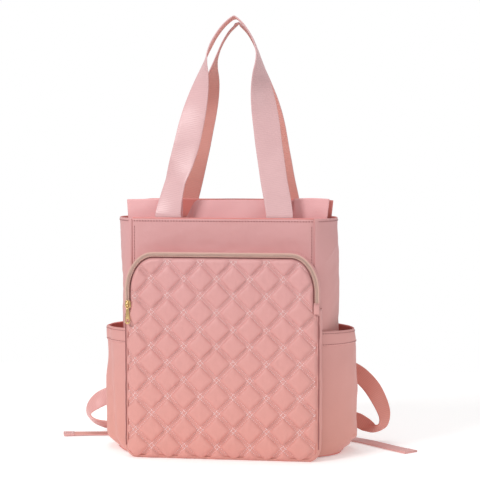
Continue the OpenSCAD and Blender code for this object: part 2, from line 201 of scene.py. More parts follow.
def woven_cloth(name, low, high, rough=0.46, sheen=0.3, weave_mm=0.7, coat=0.0):
    """Fine plain-woven cloth with a soft crumple; its colour drifts from the base up, painted bounce light
    and shade: warmer and darker low down.
    """
    n = Nodes(name)
    place = n.place()
    height = n.add("ShaderNodeSeparateXYZ", None, Vector=place).outputs["Z"]
    # Painted bounce light and shade: the warmer, darker low colour at the base blends into the high colour
    # further up.
    tone = n.mix(n.stretch(height, 0.02, 0.30), rgba(low), rgba(high))
    tone = n.mix(n.times(n.stretch(n.noise(place, 14.0, 4.0), 0.35, 0.75), 0.20), tone, rgba(low, 0.86))
    threads = n.plus(n.wave(place, "X", weave_mm), n.wave(place, "Z", weave_mm))
    threads = n.plus(threads, n.wave(place, "Y", weave_mm))
    tone = n.mix(n.times(threads, 0.035), tone, rgba(low, 0.7))
    crumple = n.bump(n.noise(place, 55.0, 4.0), 0.35, 0.9)
    shine = n.plus(n.times(n.stretch(n.noise(place, 40.0), -1.6, 2.2), 0.25), rough - 0.12)
    return n.finish(Base_Color=tone, Normal=n.bump(threads, 0.25, 0.12, crumple), Roughness=shine,
                    Sheen_Weight=sheen, Sheen_Roughness=0.45, Sheen_Tint=rgba(high, 1.15),
                    Coat_Weight=coat, Coat_Roughness=0.4)


def webbing_cloth(name, deep, pale, rough):
    """Flat ribbed webbing: cross ribs with fine warp threads, on the strip's own map."""
    n = Nodes(name)
    strip = n.add("ShaderNodeUVMap", {"uv_map": "strip"}).outputs["UV"]
    axes = n.add("ShaderNodeSeparateXYZ", None, Vector=strip)
    along = n.times(axes.outputs["Y"], 2 * math.pi * 100 / RIB_MM)
    along = n.plus(along, n.times(n.noise(strip, 14.0, 2.0), 3.5))
    across = n.times(axes.outputs["X"], 2 * math.pi * 100 / WARP_MM)
    ribs, warp = (n.plus(n.times(n.math("SINE", angle), 0.5), 0.5) for angle in (along, across))
    weave = n.plus(n.times(ribs, 0.65), n.times(warp, 0.35))
    drift = n.times(n.stretch(n.noise(n.place(), 22.0), 0.3, 0.7), 0.35)
    tone = n.mix(drift, rgba(pale), rgba(deep))
    tone = n.mix(n.times(n.math("SUBTRACT", 1.0, weave), 0.30), tone, rgba(deep, 0.8))
    return n.finish(Base_Color=tone, Normal=n.bump(weave, 0.5, 0.3), Roughness=rough,
                    Sheen_Weight=0.5, Sheen_Roughness=0.35, Sheen_Tint=rgba(pale, 1.1))


def thread(name, colour):
    """Twisted sewing thread."""
    n = Nodes(name)
    twist = n.wave(n.place(), "DIAGONAL", 0.6)
    tone = n.mix(n.times(twist, 0.4), rgba(colour), rgba(colour, 0.72))
    return n.finish(Base_Color=tone, Normal=n.bump(twist, 0.4, 0.1), Roughness=0.5, Sheen_Weight=0.3)


def metal(name, colour, rough):
    """Polished plated metal with faint handling marks."""
    n = Nodes(name)
    marks = n.noise(n.place(), 260.0, 5.0)
    tone = n.mix(n.times(marks, 0.35), rgba(colour), rgba(colour, 0.7))
    polish = n.plus(n.times(marks, 0.18), rough - 0.09)
    return n.finish(Base_Color=tone, Roughness=polish, Normal=n.bump(marks, 0.15, 0.1), Metallic=1.0)


def plastic(name, colour, rough):
    """Moulded plastic with a fine spark texture."""
    n = Nodes(name)
    place = n.place()
    grain = n.noise(place, 900.0, 2.0)
    tone = n.mix(n.times(n.noise(place, 60.0), 0.3), rgba(colour), rgba(colour, 0.82))
    polish = n.plus(n.times(grain, 0.2), rough - 0.1)
    return n.finish(Base_Color=tone, Roughness=polish, Normal=n.bump(grain, 0.3, 0.1))


def foam(name, colour):
    """Open-celled foam."""
    n = Nodes(name)
    cells = n.add("ShaderNodeTexVoronoi", None, Vector=n.place(), Scale=700.0).outputs["Distance"]
    tone = n.mix(n.times(cells, 0.6), rgba(colour), rgba(colour, 0.75))
    return n.finish(Base_Color=tone, Normal=n.bump(cells, 0.6, 0.4), Roughness=0.95)


# Periods of the webbing's cross ribs and warp threads
RIB_MM, WARP_MM = 2.6, 1.6
# The low pink is warmer and a little darker than the high one: painted bounce light and shade near the base.
PINK_LOW_PAINTED_BOUNCE = (0.67, 0.300, 0.250)
PINK_HIGH = (0.675, 0.352, 0.352)


def make_materials():
    return {
        "body": woven_cloth("body_cloth", PINK_LOW_PAINTED_BOUNCE, PINK_HIGH, coat=0.05),
        "quilt": woven_cloth("quilt_cloth", (0.69, 0.305, 0.262), (0.68, 0.345, 0.342), coat=0.05),
        # The closure flaps take a lighter copy of the body cloth: painted light, for flaps that catch more
        # light than the panel below.
        "collar": woven_cloth("collar_painted_light_cloth", (0.79, 0.40, 0.40), (0.82, 0.42, 0.425), coat=0.05),
        # A deeper red copy of the body cloth for hidden inner faces, the bag's underside, the pocket floors
        # and the hem's shadow line: painted shade.
        "inside": woven_cloth("inside_painted_shade_cloth", (0.68, 0.22, 0.19), (0.72, 0.25, 0.23), 0.6, 0.15),
        "strap": woven_cloth("strap_cloth", (0.68, 0.29, 0.25), (0.70, 0.33, 0.31), 0.5),
        "lining": woven_cloth("lining_cloth", (0.50, 0.30, 0.28), (0.56, 0.36, 0.34), 0.6, 0.25, 0.5),
        "tape": woven_cloth("zip_tape_cloth", (0.62, 0.38, 0.31), (0.66, 0.42, 0.35), 0.6, 0.25, 0.6),
        "web_pale": webbing_cloth("webbing_outer", (0.60, 0.355, 0.36), (0.76, 0.475, 0.48), 0.34),
        "web_salmon": webbing_cloth("webbing_inner", (0.66, 0.28, 0.23), (0.80, 0.39, 0.34), 0.45),
        # A darker, redder copy of the webbing for a face that lies in shade: painted shade.
        "web_painted_shade": webbing_cloth("webbing_shaded", (0.50, 0.15, 0.11), (0.70, 0.26, 0.21), 0.45),
        "web_strap": webbing_cloth("webbing_strap", (0.62, 0.29, 0.27), (0.76, 0.40, 0.38), 0.36),
        "thread": thread("thread_light", (0.95, 0.70, 0.69)),
        "thread_dark": thread("thread_dark", (0.32, 0.09, 0.09)),
        "coil": plastic("zip_coil_nylon", (0.62, 0.42, 0.35), 0.35),
        "gold": metal("gold_plate", (0.86, 0.60, 0.28), 0.24),
        "plastic": plastic("buckle_plastic", (0.66, 0.28, 0.25), 0.42),
        "board": plastic("board_plastic", (0.05, 0.05, 0.055), 0.6),
        "foam": foam("strap_foam", (0.78, 0.76, 0.70)),
    }


# ---------------------------------------------------------------- mesh helpers
def make_piece(name, points, faces, look, uvs=None, inside=None, inside_faces=None):
    """A smooth-shaded mesh object from points in millimetres; inside_faces take the look called inside."""
    mesh = bpy.data.meshes.new(name)
    mesh.from_pydata((np.asarray(points, float) * MM).tolist(), [], faces)
    if uvs is not None:
        layer = mesh.uv_layers.new(name="strip")
        order = np.zeros(len(mesh.loops), int)
        mesh.loops.foreach_get("vertex_index", order)
        layer.data.foreach_set("uv", (np.asarray(uvs)[order] / 100.0).ravel())
    mesh.materials.append(MATERIALS[look])
    if inside:
        mesh.materials.append(MATERIALS[inside])
        mesh.polygons.foreach_set("material_index", np.asarray(inside_faces, np.int32))
    mesh.polygons.foreach_set("use_smooth", np.ones(len(mesh.polygons), bool))
    shape = bmesh.new()
    shape.from_mesh(mesh)
    bmesh.ops.recalc_face_normals(shape, faces=shape.faces)
    shape.to_mesh(mesh)
    shape.free()
    return add_object(name, mesh)


def mount(piece, body, node=None):
    """Puts a finished piece on its CAD body and hides the CAD node that it stands for."""
    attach(piece, body)
    if node:
        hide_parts(node)


def hang(piece, nodes):
    """Hides the CAD nodes of a piece that bends between the bag and another body, and fixes its place into
    its mesh.
    """
    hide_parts(*nodes)
    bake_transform(piece)


def xyz(x, y, z):
    """Points from their coordinates, each an array or one number for all."""
    return np.stack(np.broadcast_arrays(x, y, z), axis=-1)


def unit(vectors):
    return vectors / np.maximum(np.linalg.norm(vectors, axis=-1, keepdims=True), 1e-9)


def smooth_step(value):
    value = np.clip(value, 0.0, 1.0)
    return value * value * (3 - 2 * value)


def ripple(a, b, seed, size=60.0):
    """A smooth crumple between about -1 and 1 over two coordinates in millimetres."""
    draw = np.random.default_rng(seed)
    total = 0.0
    for _ in range(8):
        angle, phase = draw.uniform(0, 2 * math.pi, 2)
        wave = size * draw.uniform(0.5, 1.6)
        total = total + np.sin(2 * math.pi * (a * math.cos(angle) + b * math.sin(angle)) / wave + phase)
    return total / 5.0


def run_along(path):
    """Distance along a path at each of its points."""
    return np.r_[0, np.cumsum(np.linalg.norm(np.diff(path, axis=0), axis=1))]


def at_distances(path, wanted):
    """Points at the wanted distances along a path."""
    run = run_along(path)
    return np.column_stack([np.interp(wanted, run, column) for column in path.T])


def grid_faces(rows, columns, start=0):
    """Quads between the points of a grid stored row by row."""
    index = np.arange(rows * columns).reshape(rows, columns) + start
    quads = np.stack([index[:-1, :-1], index[:-1, 1:], index[1:, 1:], index[1:, :-1]], axis=-1)
    return quads.reshape(-1, 4).tolist()


def skin_faces(count, size):
    """Faces of a closed skin over a stack of rings, with both ends capped."""
    faces = [[i * size + k, i * size + (k + 1) % size, (i + 1) * size + (k + 1) % size, (i + 1) * size + k]
             for i in range(count - 1) for k in range(size)]
    return faces + [list(range(size))[::-1], [(count - 1) * size + k for k in range(size)]]


def rim_loop(rows, columns):
    """The grid's border points in order, and the point just inside each."""
    index = np.arange(rows * columns).reshape(rows, columns)
    border = np.concatenate([index[0, :-1], index[:-1, -1], index[-1, :0:-1], index[:0:-1, 0]])
    row, column = border // columns, border % columns
    inner = np.clip(row, 1, rows - 2) * columns + np.clip(column, 1, columns - 2)
    return border, inner


def solid_from_grids(front, back, swell):
    """Points, faces and inside flags of the closed solid between two grids, with a rounded rim."""
    rows, columns = front.shape[:2]
    count = rows * columns
    border, inner = rim_loop(rows, columns)
    flat_front, flat_back = front.reshape(-1, 3), back.reshape(-1, 3)
    outward = unit(flat_front[border] - flat_front[inner])
    middle = (flat_front[border] + flat_back[border]) / 2 + outward * swell
    faces = grid_faces(rows, columns) + grid_faces(rows, columns, count)
    inside = [0] * (len(faces) // 2) + [1] * (len(faces) // 2)
    ring = np.arange(len(border)) + 2 * count
    following = np.roll(np.arange(len(border)), -1)
    for k, k2 in enumerate(following):
        faces.append([int(border[k]), int(border[k2]), int(ring[k2]), int(ring[k])])
        faces.append([int(ring[k]), int(ring[k2]), int(border[k2] + count), int(border[k] + count)])
        inside += [0, 1]
    return np.vstack([flat_front, flat_back, middle]), faces, inside


def cloth(name, grid, thick, look, node=None, inside=None):
    """Cloth of a given thickness behind a grid, sewn to the bag's own body.

    node is the CAD node it stands for, and inside the look of its hidden side.
    """
    normals = unit(np.cross(np.gradient(grid, axis=1), np.gradient(grid, axis=0)))
    points, faces, flags = solid_from_grids(grid, grid - normals * thick, 0.3 * thick)
    mount(make_piece(name, points, faces, look, None, inside, flags), "root", node)


def loft(name, rings, look):
    """Closed skin through a stack of closed rings, with both ends capped."""
    rings = np.asarray(rings, float)
    return make_piece(name, rings.reshape(-1, 3), skin_faces(*rings.shape[:2]), look)


def tube(name, points, radius, look, sides=10):
    """Round cord along points, with closed ends."""
    tangent = unit(np.gradient(points, axis=0))
    helper = np.where(np.abs(tangent[:, 1:2]) > 0.9, [[1.0, 0.0, 0.0]], [[0.0, 1.0, 0.0]])
    first = unit(np.cross(tangent, helper))
    second = np.cross(tangent, first)
    angle = np.arange(sides) * 2 * math.pi / sides
    offset = first[:, None] * np.cos(angle)[None, :, None] + second[:, None] * np.sin(angle)[None, :, None]
    return loft(name, points[:, None] + offset * radius, look)


def seam_cord(name, points, radius, look="thread_dark"):
    """A thin cord that lies in a seam of the bag."""
    mount(tube(name, points, radius, look, 8), "root")


def smooth_path(points, step=3.0):
    """Evenly spaced points on a curve through the given ones, with each one's place in the list."""
    points = np.asarray(points, float)
    padded = np.vstack([2 * points[0] - points[1], points, 2 * points[-1] - points[-2]])
    dense, places = [], []
    for i in range(len(points) - 1):
        p0, p1, p2, p3 = padded[i:i + 4]
        for t in np.arange(0, 1, 1 / 16):
            dense.append(0.5 * (2 * p1 + (p2 - p0) * t + (2 * p0 - 5 * p1 + 4 * p2 - p3) * t ** 2
                                + (3 * p1 - p0 - 3 * p2 + p3) * t ** 3))
            places.append(i + t)
    dense, places = np.array(dense + [points[-1]]), np.array(places + [len(points) - 1])
    run = run_along(dense)
    wanted = np.linspace(0, run[-1], max(int(run[-1] / step), 2) + 1)
    return at_distances(dense, wanted), np.interp(wanted, run, places)


def band_frames(points, widths, step=3.0):
    """Centre line of a flat band with its width direction and its face direction at each point."""
    centre, places = smooth_path(points, step)
    widths = np.asarray(widths, float)
    direction = np.column_stack([np.interp(places, np.arange(len(widths)), column) for column in widths.T])
    tangent = unit(np.gradient(centre, axis=0))
    direction = unit(direction - (direction * tangent).sum(1, keepdims=True) * tangent)
    return centre, direction, np.cross(tangent, direction)


def band(name, points, widths, wide, thick, look, step=2.0, under=None):
    """Woven band with rounded selvages, mapped in millimetres; under is the look of its back."""
    centre, direction, face = band_frames(points, widths, step)
    half, lift = wide / 2, thick / 2
    flat = np.linspace(-half + lift, half - lift, 9)
    turn = np.radians([60, 30, 0, -30, -60])
    selvage, rounding = half - lift + lift * np.cos(turn), lift * np.sin(turn)
    across = np.concatenate([flat, selvage, flat[::-1], -selvage[::-1]])
    up = np.concatenate([np.full(9, lift), rounding, np.full(9, -lift), rounding[::-1]])
    rings = centre[:, None] + direction[:, None] * across[None, :, None] + face[:, None] * up[None, :, None]
    count, size = rings.shape[:2]
    inside = [int(13 <= k <= 22) for _ in range(count - 1) for k in range(size)] + [0, 0]
    uvs = np.stack(np.broadcast_arrays(across[None, :], run_along(centre)[:, None]), axis=-1).reshape(-1, 2)
    return make_piece(name, rings.reshape(-1, 3), skin_faces(count, size), look, uvs, under, inside)


def rods(name, starts, ends, lift, radius, look, arch=0.0, sides=6):
    """Short rounded rods, such as stitches or zip teeth, in one mesh; each one's middle rises along lift."""
    starts, ends = np.vstack(starts).astype(float), np.vstack(ends).astype(float)
    lift = np.atleast_2d(np.asarray(lift, float))
    along = unit(ends - starts)
    lift = unit(np.broadcast_to(lift, starts.shape) - (lift * along).sum(1, keepdims=True) * along)
    side = np.cross(along, lift)
    places = np.array([0.0, 0.06, 0.22, 0.5, 0.78, 0.94, 1.0])
    sizes = radius * np.array([0.25, 0.7, 1.0, 1.0, 1.0, 0.7, 0.25])
    angle = np.arange(sides) * 2 * math.pi / sides
    middle = starts[:, None] + (ends - starts)[:, None] * places[None, :, None]
    middle = middle + lift[:, None] * (arch * np.sin(math.pi * places))[None, :, None]
    round_off = lift[:, None, None] * np.sin(angle)[None, None, :, None]
    round_off = round_off + side[:, None, None] * np.cos(angle)[None, None, :, None]
    rings = middle[:, :, None] + round_off * sizes[None, :, None, None]
    one, size = skin_faces(len(places), sides), len(places) * sides
    faces = [[v + m * size for v in face] for m in range(len(starts)) for face in one]
    return make_piece(name, rings.reshape(-1, 3), faces, look)


def stitch_run(path, length=3.0, pause=1.1):
    """Start and end of each stitch along a dense path."""
    total = run_along(path)[-1]
    first = np.arange(pause, total - length - pause * 0.5, length + pause)
    return at_distances(path, first), at_distances(path, first + length)


def stitches(name, paths, lift, look="thread_dark", radius=0.42, length=3.0, pause=1.1, arch=0.35):
    """Rows of stitches on the bag in one mesh; lift is one direction or one for each path."""
    lifts = lift if isinstance(lift, list) else [lift] * len(paths)
    starts, ends = zip(*(stitch_run(path, length, pause) for path in paths))
    ups = [np.broadcast_to(np.asarray(up, float), start.shape) for start, up in zip(starts, lifts)]
    mount(rods(name, starts, ends, np.vstack(ups), radius, look, arch), "root")


def bake(piece):
    """Fixes a piece's modifiers into its mesh."""
    depsgraph = bpy.context.evaluated_depsgraph_get()
    mesh = bpy.data.meshes.new_from_object(piece.evaluated_get(depsgraph))
    piece.modifiers.clear()
    piece.data = mesh


def bevelled(piece, width_mm, segments=3):
    """Rounds a hard piece's edges for good."""
    bevel = piece.modifiers.new("bevel", "BEVEL")
    bevel.width = width_mm * MM
    bevel.segments = segments
    bevel.limit_method = "ANGLE"
    bevel.angle_limit = math.radians(30)
    bake(piece)
    return piece


# ---------------------------------------------------------------- the bag's main sizes, from the frame
def node_box(name):
    low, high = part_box(name)
    return np.array(low) / MM, np.array(high) / MM


PANEL_LOW, PANEL_HIGH = node_box("front_panel")
HALF_W = PANEL_HIGH[0]
FRONT_Y = PANEL_LOW[1]
BACK_Y = -FRONT_Y
BODY_H = PANEL_HIGH[2]
GUSSET_BOW = node_box("right_gusset")[1][0] - HALF_W
POCKET_LOW = node_box("pocket_upper_gusset")[0]
FACE_Y, FACE_BACK_Y = (corner[1] for corner in node_box("pocket_face"))
POCKET_HALF = -node_box("pocket_lower_gusset")[0][0]
POCKET_TOP = node_box("pocket_upper_gusset")[1][2]
ZIP_END_Z = POCKET_LOW[2]
ZIP_Y = node_box("pocket_zip_tape_outer")[0][1]
SIDE_BOW = node_box("right_pocket_hem")[1][0] - HALF_W
SIDE_HEM_LOW, SIDE_HEM_HIGH = (corner[2] for corner in node_box("right_pocket_hem"))
COLLAR_LOW, COLLAR_HIGH = node_box("collar_back")
WALL = 3.0
SIDES = ((-1, "left"), (1, "right"))
FACES = ((-1, "front"), (1, "back"))
# The front and back seams at the two sides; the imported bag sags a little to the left
SEAM_X = {-1: HALF_W + 6.0, 1: HALF_W + 0.5}


def side_bulge(y, power=0.82):
    """How far a bowed side stands out at each depth, from 0 at the seams to 1 in the middle."""
    return np.power(np.clip(1 - (y / BACK_Y) ** 2, 0.0, 1.0), power)


def gusset_x(side, y, z):
    """Outer face of a side gusset: fuller at the left hem and tucked in low down, with soft folds."""
    top = smooth_step((z - 230) / (BODY_H - 230))
    bow = GUSSET_BOW + HALF_W - SEAM_X[side] + (5.0 * top if side < 0 else -2.0 * top)
    bow = bow - 7 * smooth_step((60 - z) / 60)
    fold = 1.3 * ripple(y * 1.3 + 40, z, 11 + side, 95) + 0.5 * ripple(y, z, 21 + side, 30)
    middle = side_bulge(y)
    crease = 0.0
    if side > 0:
        line = y + 6 + (BODY_H - z) * 0.8
        crease = -7.5 * np.exp(-np.abs(line) / np.where(line < 0, 34.0, 9.0)) * smooth_step((z - 225) / 60)
        crease = crease * (1 - 0.85 * smooth_step((z - 290) / (BODY_H - 290)))
    return side * (SEAM_X[side] + bow * middle + (fold - crease) * np.clip(middle * 1.4, 0, 1))


def panel_y(side, x, z):
    """Outer face of the front (side -1) or back (side 1) panel: a slight belly and soft crumples."""
    edge = np.clip((np.where(x < 0, SEAM_X[-1], SEAM_X[1]) - np.abs(x)) / 12.0, 0, 1)
    belly = 2.2 * np.sin(math.pi * np.clip(z / BODY_H, 0, 1)) * (1 - (x / HALF_W) ** 2)
    crumple = 0.9 * ripple(x, z, 31 + side, 80) + 0.35 * ripple(x, z, 41 + side, 26)
    roll = 2.2 * (1 - smooth_step(edge)) ** 2
    return side * (BACK_Y + (belly + crumple) * smooth_step(edge) - roll)


# ---------------------------------------------------------------- body
def build_panels():
    left, right = -SEAM_X[-1], SEAM_X[1]
    x = np.concatenate([np.linspace(left, left + 10, 9)[:-1], np.linspace(left + 10, right - 10, 110),
                        np.linspace(right - 10, right, 9)[1:]])
    z = np.linspace(WALL, BODY_H, 140)
    for side, label in FACES:
        across, up = np.meshgrid(x[::-side], z)
        grid = xyz(across, panel_y(side, across, up), up)
        cloth(label + "_panel_cloth", grid, WALL * 0.8, "body", label + "_panel", "inside")


def build_gussets():
    depth = BACK_Y * np.sin(np.linspace(-math.pi / 2, math.pi / 2, 70))
    z = np.linspace(WALL, BODY_H, 140)
    for side, label in SIDES:
        y, up = np.meshgrid(depth * side, z)
        grid = xyz(gusset_x(side, y, up), y * 0.992, up)
        cloth(label + "_gusset_cloth", grid, WALL * 0.8, "body", label + "_gusset", "inside")


def plan_outline(z, inset, count=48):
    """The body's plan outline at a height, moved in, as one closed ring."""
    y = (BACK_Y - inset) * np.sin(np.linspace(-math.pi / 2, math.pi / 2, count))
    right = np.column_stack([gusset_x(1, y, np.full(count, z)) - inset, y])
    left = np.column_stack([gusset_x(-1, y, np.full(count, z)) + inset, y])[::-1]
    front = np.linspace(left[-1], right[0], 30)[1:-1]
    back = np.linspace(right[-1], left[0], 30)[1:-1]
    ring = np.vstack([right, back, left, front])
    return xyz(*ring.T, z)


def scaled_ring(ring, share, z):
    ring = ring * share
    ring[:, 2] = z
    return ring


def build_bottom_and_inside():
    ring = plan_outline(WALL, 0.6)
    # Share of the outline and height of each ring, from under the bag round its rim to its inside
    profile = ((0.04, 0.0), (0.90, 0.0), (0.975, 0.25), (0.993, 1.0), (0.996, 2.0), (0.985, WALL),
               (0.04, WALL))
    rings = [scaled_ring(ring, share, z) for share, z in profile]
    # The whole underside takes the inside look: painted shade.
    mount(loft("bottom_cloth", rings, "inside"), "root", "bottom_panel")

    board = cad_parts["base_board"]
    board.data.materials.clear()
    board.data.materials.append(MATERIALS["board"])

    low, high = (corner[2] for corner in node_box("lining"))
    outside, inner = [], []
    for z in np.linspace(low, high, 40):
        outside.append(plan_outline(z, WALL + 0.6))
        shape = plan_outline(z, WALL + 1.6)
        slack = 0.8 * ripple(np.arange(float(len(shape))) * 4, z, 51, 70)[:, None]
        shape[:, :2] -= unit(shape[:, :2]) * np.abs(slack)
        inner.append(shape)
    rings = [scaled_ring(outside[0].copy(), 0.04, low)] + outside + inner[::-1]
    rings.append(scaled_ring(inner[0].copy(), 0.04, low + 0.9))
    rings[-2][:, 2] = low + 0.9
    mount(loft("lining_cloth", rings, "lining"), "root", "lining")


# ---------------------------------------------------------------- top closure
def collar_grid(side, x, top, z_low, lean):
    """One closure flap: a strip that slopes in from the panel and turns up to the given top."""
    inner_y, flap_y = BACK_Y - WALL - 0.5, node_box("top_zip_tape_back")[1][1] + 1.2
    bend_z = z_low + 18
    rise = np.linspace(0, 1, 46)
    profile_y = np.interp(rise, [0, 0.45, 0.56, 1], [inner_y, flap_y + 11.5, flap_y + 9.0, flap_y + 0.9])
    share_z = np.interp(rise, [0, 0.45, 0.56, 1], [0, 0.93, 1.0, 1.0])
    grid = np.zeros((len(rise), len(x), 3))
    for row in range(len(rise)):
        upper = np.clip((rise[row] - 0.56) / 0.44, 0, 1)
        z = z_low + (bend_z - z_low) * share_z[row] + (top - bend_z) * upper
        room = HALF_W + GUSSET_BOW * side_bulge(np.array(profile_y[row])) - 4.0
        held = x * np.minimum(1.0, room / COLLAR_HIGH[0])
        wobble = 1.1 * ripple(x, z * 0.6, 61 + side, 70) * min(1.0, 0.35 + upper) + lean * upper
        y = profile_y[row] + np.where(rise[row] > 0.5, wobble, 0.3 * wobble)
        grid[row] = xyz(held * -side, side * y, z)
    return grid


def build_collars():
    z_low, high = COLLAR_LOW[2], COLLAR_HIGH[2]
    reach = COLLAR_HIGH[0] - 1.0
    back_x = np.linspace(-reach, reach, 130)
    back_top = high + 0.6 * ripple(back_x, 0, 71, 120) - 2.2 * smooth_step((np.abs(back_x) - 120) / 30)
    grid = collar_grid(1, back_x, back_top, z_low, 0.0)
    cloth("collar_back_cloth", grid, 1.7, "collar", "collar_back", "inside")

    # The front flap hangs in three overlapping stretches, with a curved notch beside a handle leg
    stretches = (("left", -reach, -66.0, 0.4, 1.2, 0.0), ("middle", -64.0, 101.0, -0.6, 0.0, 27.0),
                 ("right", 96.5, reach, 1.9, 2.6, 0.0))
    for name, x0, x1, lift, lean, notch in stretches:
        x = np.linspace(x0, x1, max(int((x1 - x0) / 2), 20))
        top = high + lift + 0.9 * np.sin((x - x0) / (x1 - x0) * math.pi) + 0.4 * ripple(x, 3, 75, 60)
        top = top - notch * (1 - smooth_step((x - x0) / 22.0)) ** 1.3
        grid = collar_grid(-1, x, top, z_low, lean)
        cloth("collar_front_" + name, grid, 1.7, "collar", "collar_front", "inside")


def build_top_zip():
    low, high = node_box("top_zip_coil")
    z = low[2] + 0.9
    for side, label in FACES:
        tape_low, tape_high = node_box("top_zip_tape_" + label)
        along, depth = np.meshgrid(np.linspace(tape_low[0], tape_high[0], 120),
                                   np.linspace(tape_low[1], tape_high[1], 12))
        sag = 0.35 * ripple(along, depth, 81, 50)
        grid = xyz(along, depth, tape_high[2] + sag - 0.1)
        cloth(f"top_zip_tape_{label}_cloth", grid, 0.7, "tape", "top_zip_tape_" + label)
    x = np.arange(low[0] + 1, high[0] - 1, 1.5)
    starts, ends = [], []
    for side in (-1, 1):
        shift = 0.375 * side
        starts.append(xyz(x + shift, side * 2.3, z))
        ends.append(xyz(x + shift, -side * 0.5, z + 0.2))
    teeth = rods("top_zip_teeth", starts, ends, (0, 0, 1), 0.48, "coil", 0.35)
    mount(teeth, "root", "top_zip_coil")

    low, high = node_box("top_zip_end_tabs")
    tab_low = node_box("top_zip_coil")[1][0] + 0.3
    for side, label in SIDES:
        along, depth = np.meshgrid(side * np.linspace(tab_low, high[0], 9),
                                   side * np.linspace(low[1], high[1], 20))
        arch = 0.8 * (1 - (depth / high[1]) ** 2)
        grid = xyz(along, depth, high[2] - 0.6 + arch * 0.6)
        cloth("top_zip_end_tab_" + label, grid, 1.8, "body", "top_zip_end_tabs")


# ---------------------------------------------------------------- quilted front pocket
CORNER_W, CORNER_H, FOOT_R = 40.0, 55.0, 16.0
FACE_INSET = 6.4
POCKET_FLOOR = 1.0
QUILT_X, QUILT_Z = 46.7, 47.4
QUILT_CENTRE = (-76.0, 231.9)
ROW_HALF_GAP = 2.4
QUILT_SPACING = 1.0 / math.hypot(1 / QUILT_X, 1 / QUILT_Z)
PUFF, PUFF_FULLNESS, PUFF_SHOULDER = 5.4, 4.6, 0.55
SCALLOP, SCALLOP_LEVEL = 2.4, 0.2


def arch_path(inset, low_z, step):
    """The pocket's outline above a height, from right to left, moved in; with its outward direction."""
    half, top = POCKET_HALF - inset, POCKET_TOP - inset
    rx, rz = CORNER_W - inset, CORNER_H - inset
    turn = np.linspace(0, math.pi / 2, 60)
    right = np.column_stack([half - rx + rx * np.cos(turn), top - rz + rz * np.sin(turn)])
    upright = np.column_stack([np.full(20, half), np.linspace(low_z, top - rz, 20)])[:-1]
    flat = np.column_stack([np.linspace(half - rx, -(half - rx), 60), np.full(60, top)])[1:-1]
    left = right[::-1] * (-1, 1)
    outline = np.vstack([upright, right, flat, left, upright[::-1] * (-1, 1)])
    total = run_along(outline)[-1]
    path = at_distances(outline, np.linspace(0, total, int(total / step) + 1))
    tangent = unit(np.gradient(path, axis=0))
    return path, np.column_stack([tangent[:, 1], -tangent[:, 0]])


def face_half(z):
    """Half-width of the quilted face: it widens below the ends of the zip."""
    shoulder = smooth_step((ZIP_END_Z - z) / 14.0)
    return POCKET_HALF - FACE_INSET + (FACE_INSET - 0.8) * shoulder


def face_edge_distance(x, z):
    """Distance from the edge of the quilted face, in millimetres."""
    half, top = face_half(z), POCKET_TOP - FACE_INSET
    rx, rz = CORNER_W - FACE_INSET, CORNER_H - FACE_INSET
    side, head, foot = half - np.abs(x), top - z, z - POCKET_FLOOR
    dx, dz = np.maximum(np.abs(x) - (half - rx), 0.0), np.maximum(z - (top - rz), 0.0)
    rho = np.sqrt((dx / rx) ** 2 + (dz / rz) ** 2)
    slope = np.sqrt((dx / rx ** 2) ** 2 + (dz / rz ** 2) ** 2) / np.maximum(rho, 1e-6)
    corner = (1 - rho) / np.maximum(slope, 1e-6)
    edge = np.where((dx > 0) & (dz > 0), corner, np.minimum(side, head))
    out, down = np.abs(x) - (half - FOOT_R), FOOT_R - foot
    round_foot = np.where((out > 0) & (down > 0), FOOT_R - np.hypot(out, down), foot)
    return np.clip(np.minimum(edge, round_foot), 0.0, None)


def quilt_bend(x, z):
    """How far the quilting lines wander up and down near the face's left edge."""
    return 2.2 * smooth_step((-x - 95) / 40) * np.sin(z / 31.0)


def quilt_lines(x, z):
    """The two diagonal coordinates, whole on the quilting lines."""
    a = (x - QUILT_CENTRE[0]) / QUILT_X
    b = (z - QUILT_CENTRE[1] + quilt_bend(x, z)) / QUILT_Z
    return a + b, a - b


def puff_profile(coordinate):
    """Share of the padding's full height near a quilting line, and the distance from that line."""
    distance = np.abs(coordinate - np.round(coordinate)) * QUILT_SPACING
    share = np.clip((distance - ROW_HALF_GAP) / (QUILT_SPACING / 2 - ROW_HALF_GAP), 0, 1)
    return np.power(1 - np.power(1 - share, PUFF_FULLNESS), PUFF_SHOULDER), distance


def face_y(x, z):
    """Front of the quilted face at each point."""
    first, second = quilt_lines(x, z)
    puff_a, gap_a = puff_profile(first)
    puff_b, gap_b = puff_profile(second)
    welt = np.minimum(gap_a, gap_b)
    welt = 0.9 * np.clip(1 - (welt / ROW_HALF_GAP) ** 2, 0, 1)
    edge = face_edge_distance(x, z)
    full = smooth_step(edge / 6.5)
    loft_here = PUFF * (1 + 0.16 * ripple(x, z, 91, 75)) * puff_a * puff_b
    crumple = 0.35 * ripple(x, z, 92, 17) + 0.25 * ripple(x * 1.4, z, 93, 9)
    crumple = crumple * np.clip(loft_here / 3.0, 0, 1)
    belly = 3.0 * (1 - (x / POCKET_HALF) ** 2) * np.sin(math.pi * np.clip((z - 5) / POCKET_TOP, 0, 1))
    rim = np.clip(edge / 3.4, 0, 1)
    rolled = (FACE_BACK_Y - FACE_Y) * (1 - np.sqrt(np.clip(1 - (1 - rim) ** 2, 0, 1)))
    sides = 4.5 * np.clip(1 - edge / 26.0, 0, 1) ** 2 * smooth_step((ZIP_END_Z - z) / 30.0)
    return FACE_Y + 1.6 - (loft_here + welt + crumple) * full - belly + rolled + sides


def face_columns():
    corner = CORNER_W - FACE_INSET
    half = POCKET_HALF - FACE_INSET
    turn = np.linspace(0, math.pi / 2, 30)[1:]
    right = half - corner + corner * np.sin(turn)
    return np.concatenate([-right[::-1], np.linspace(-(half - corner), half - corner, 166), right])


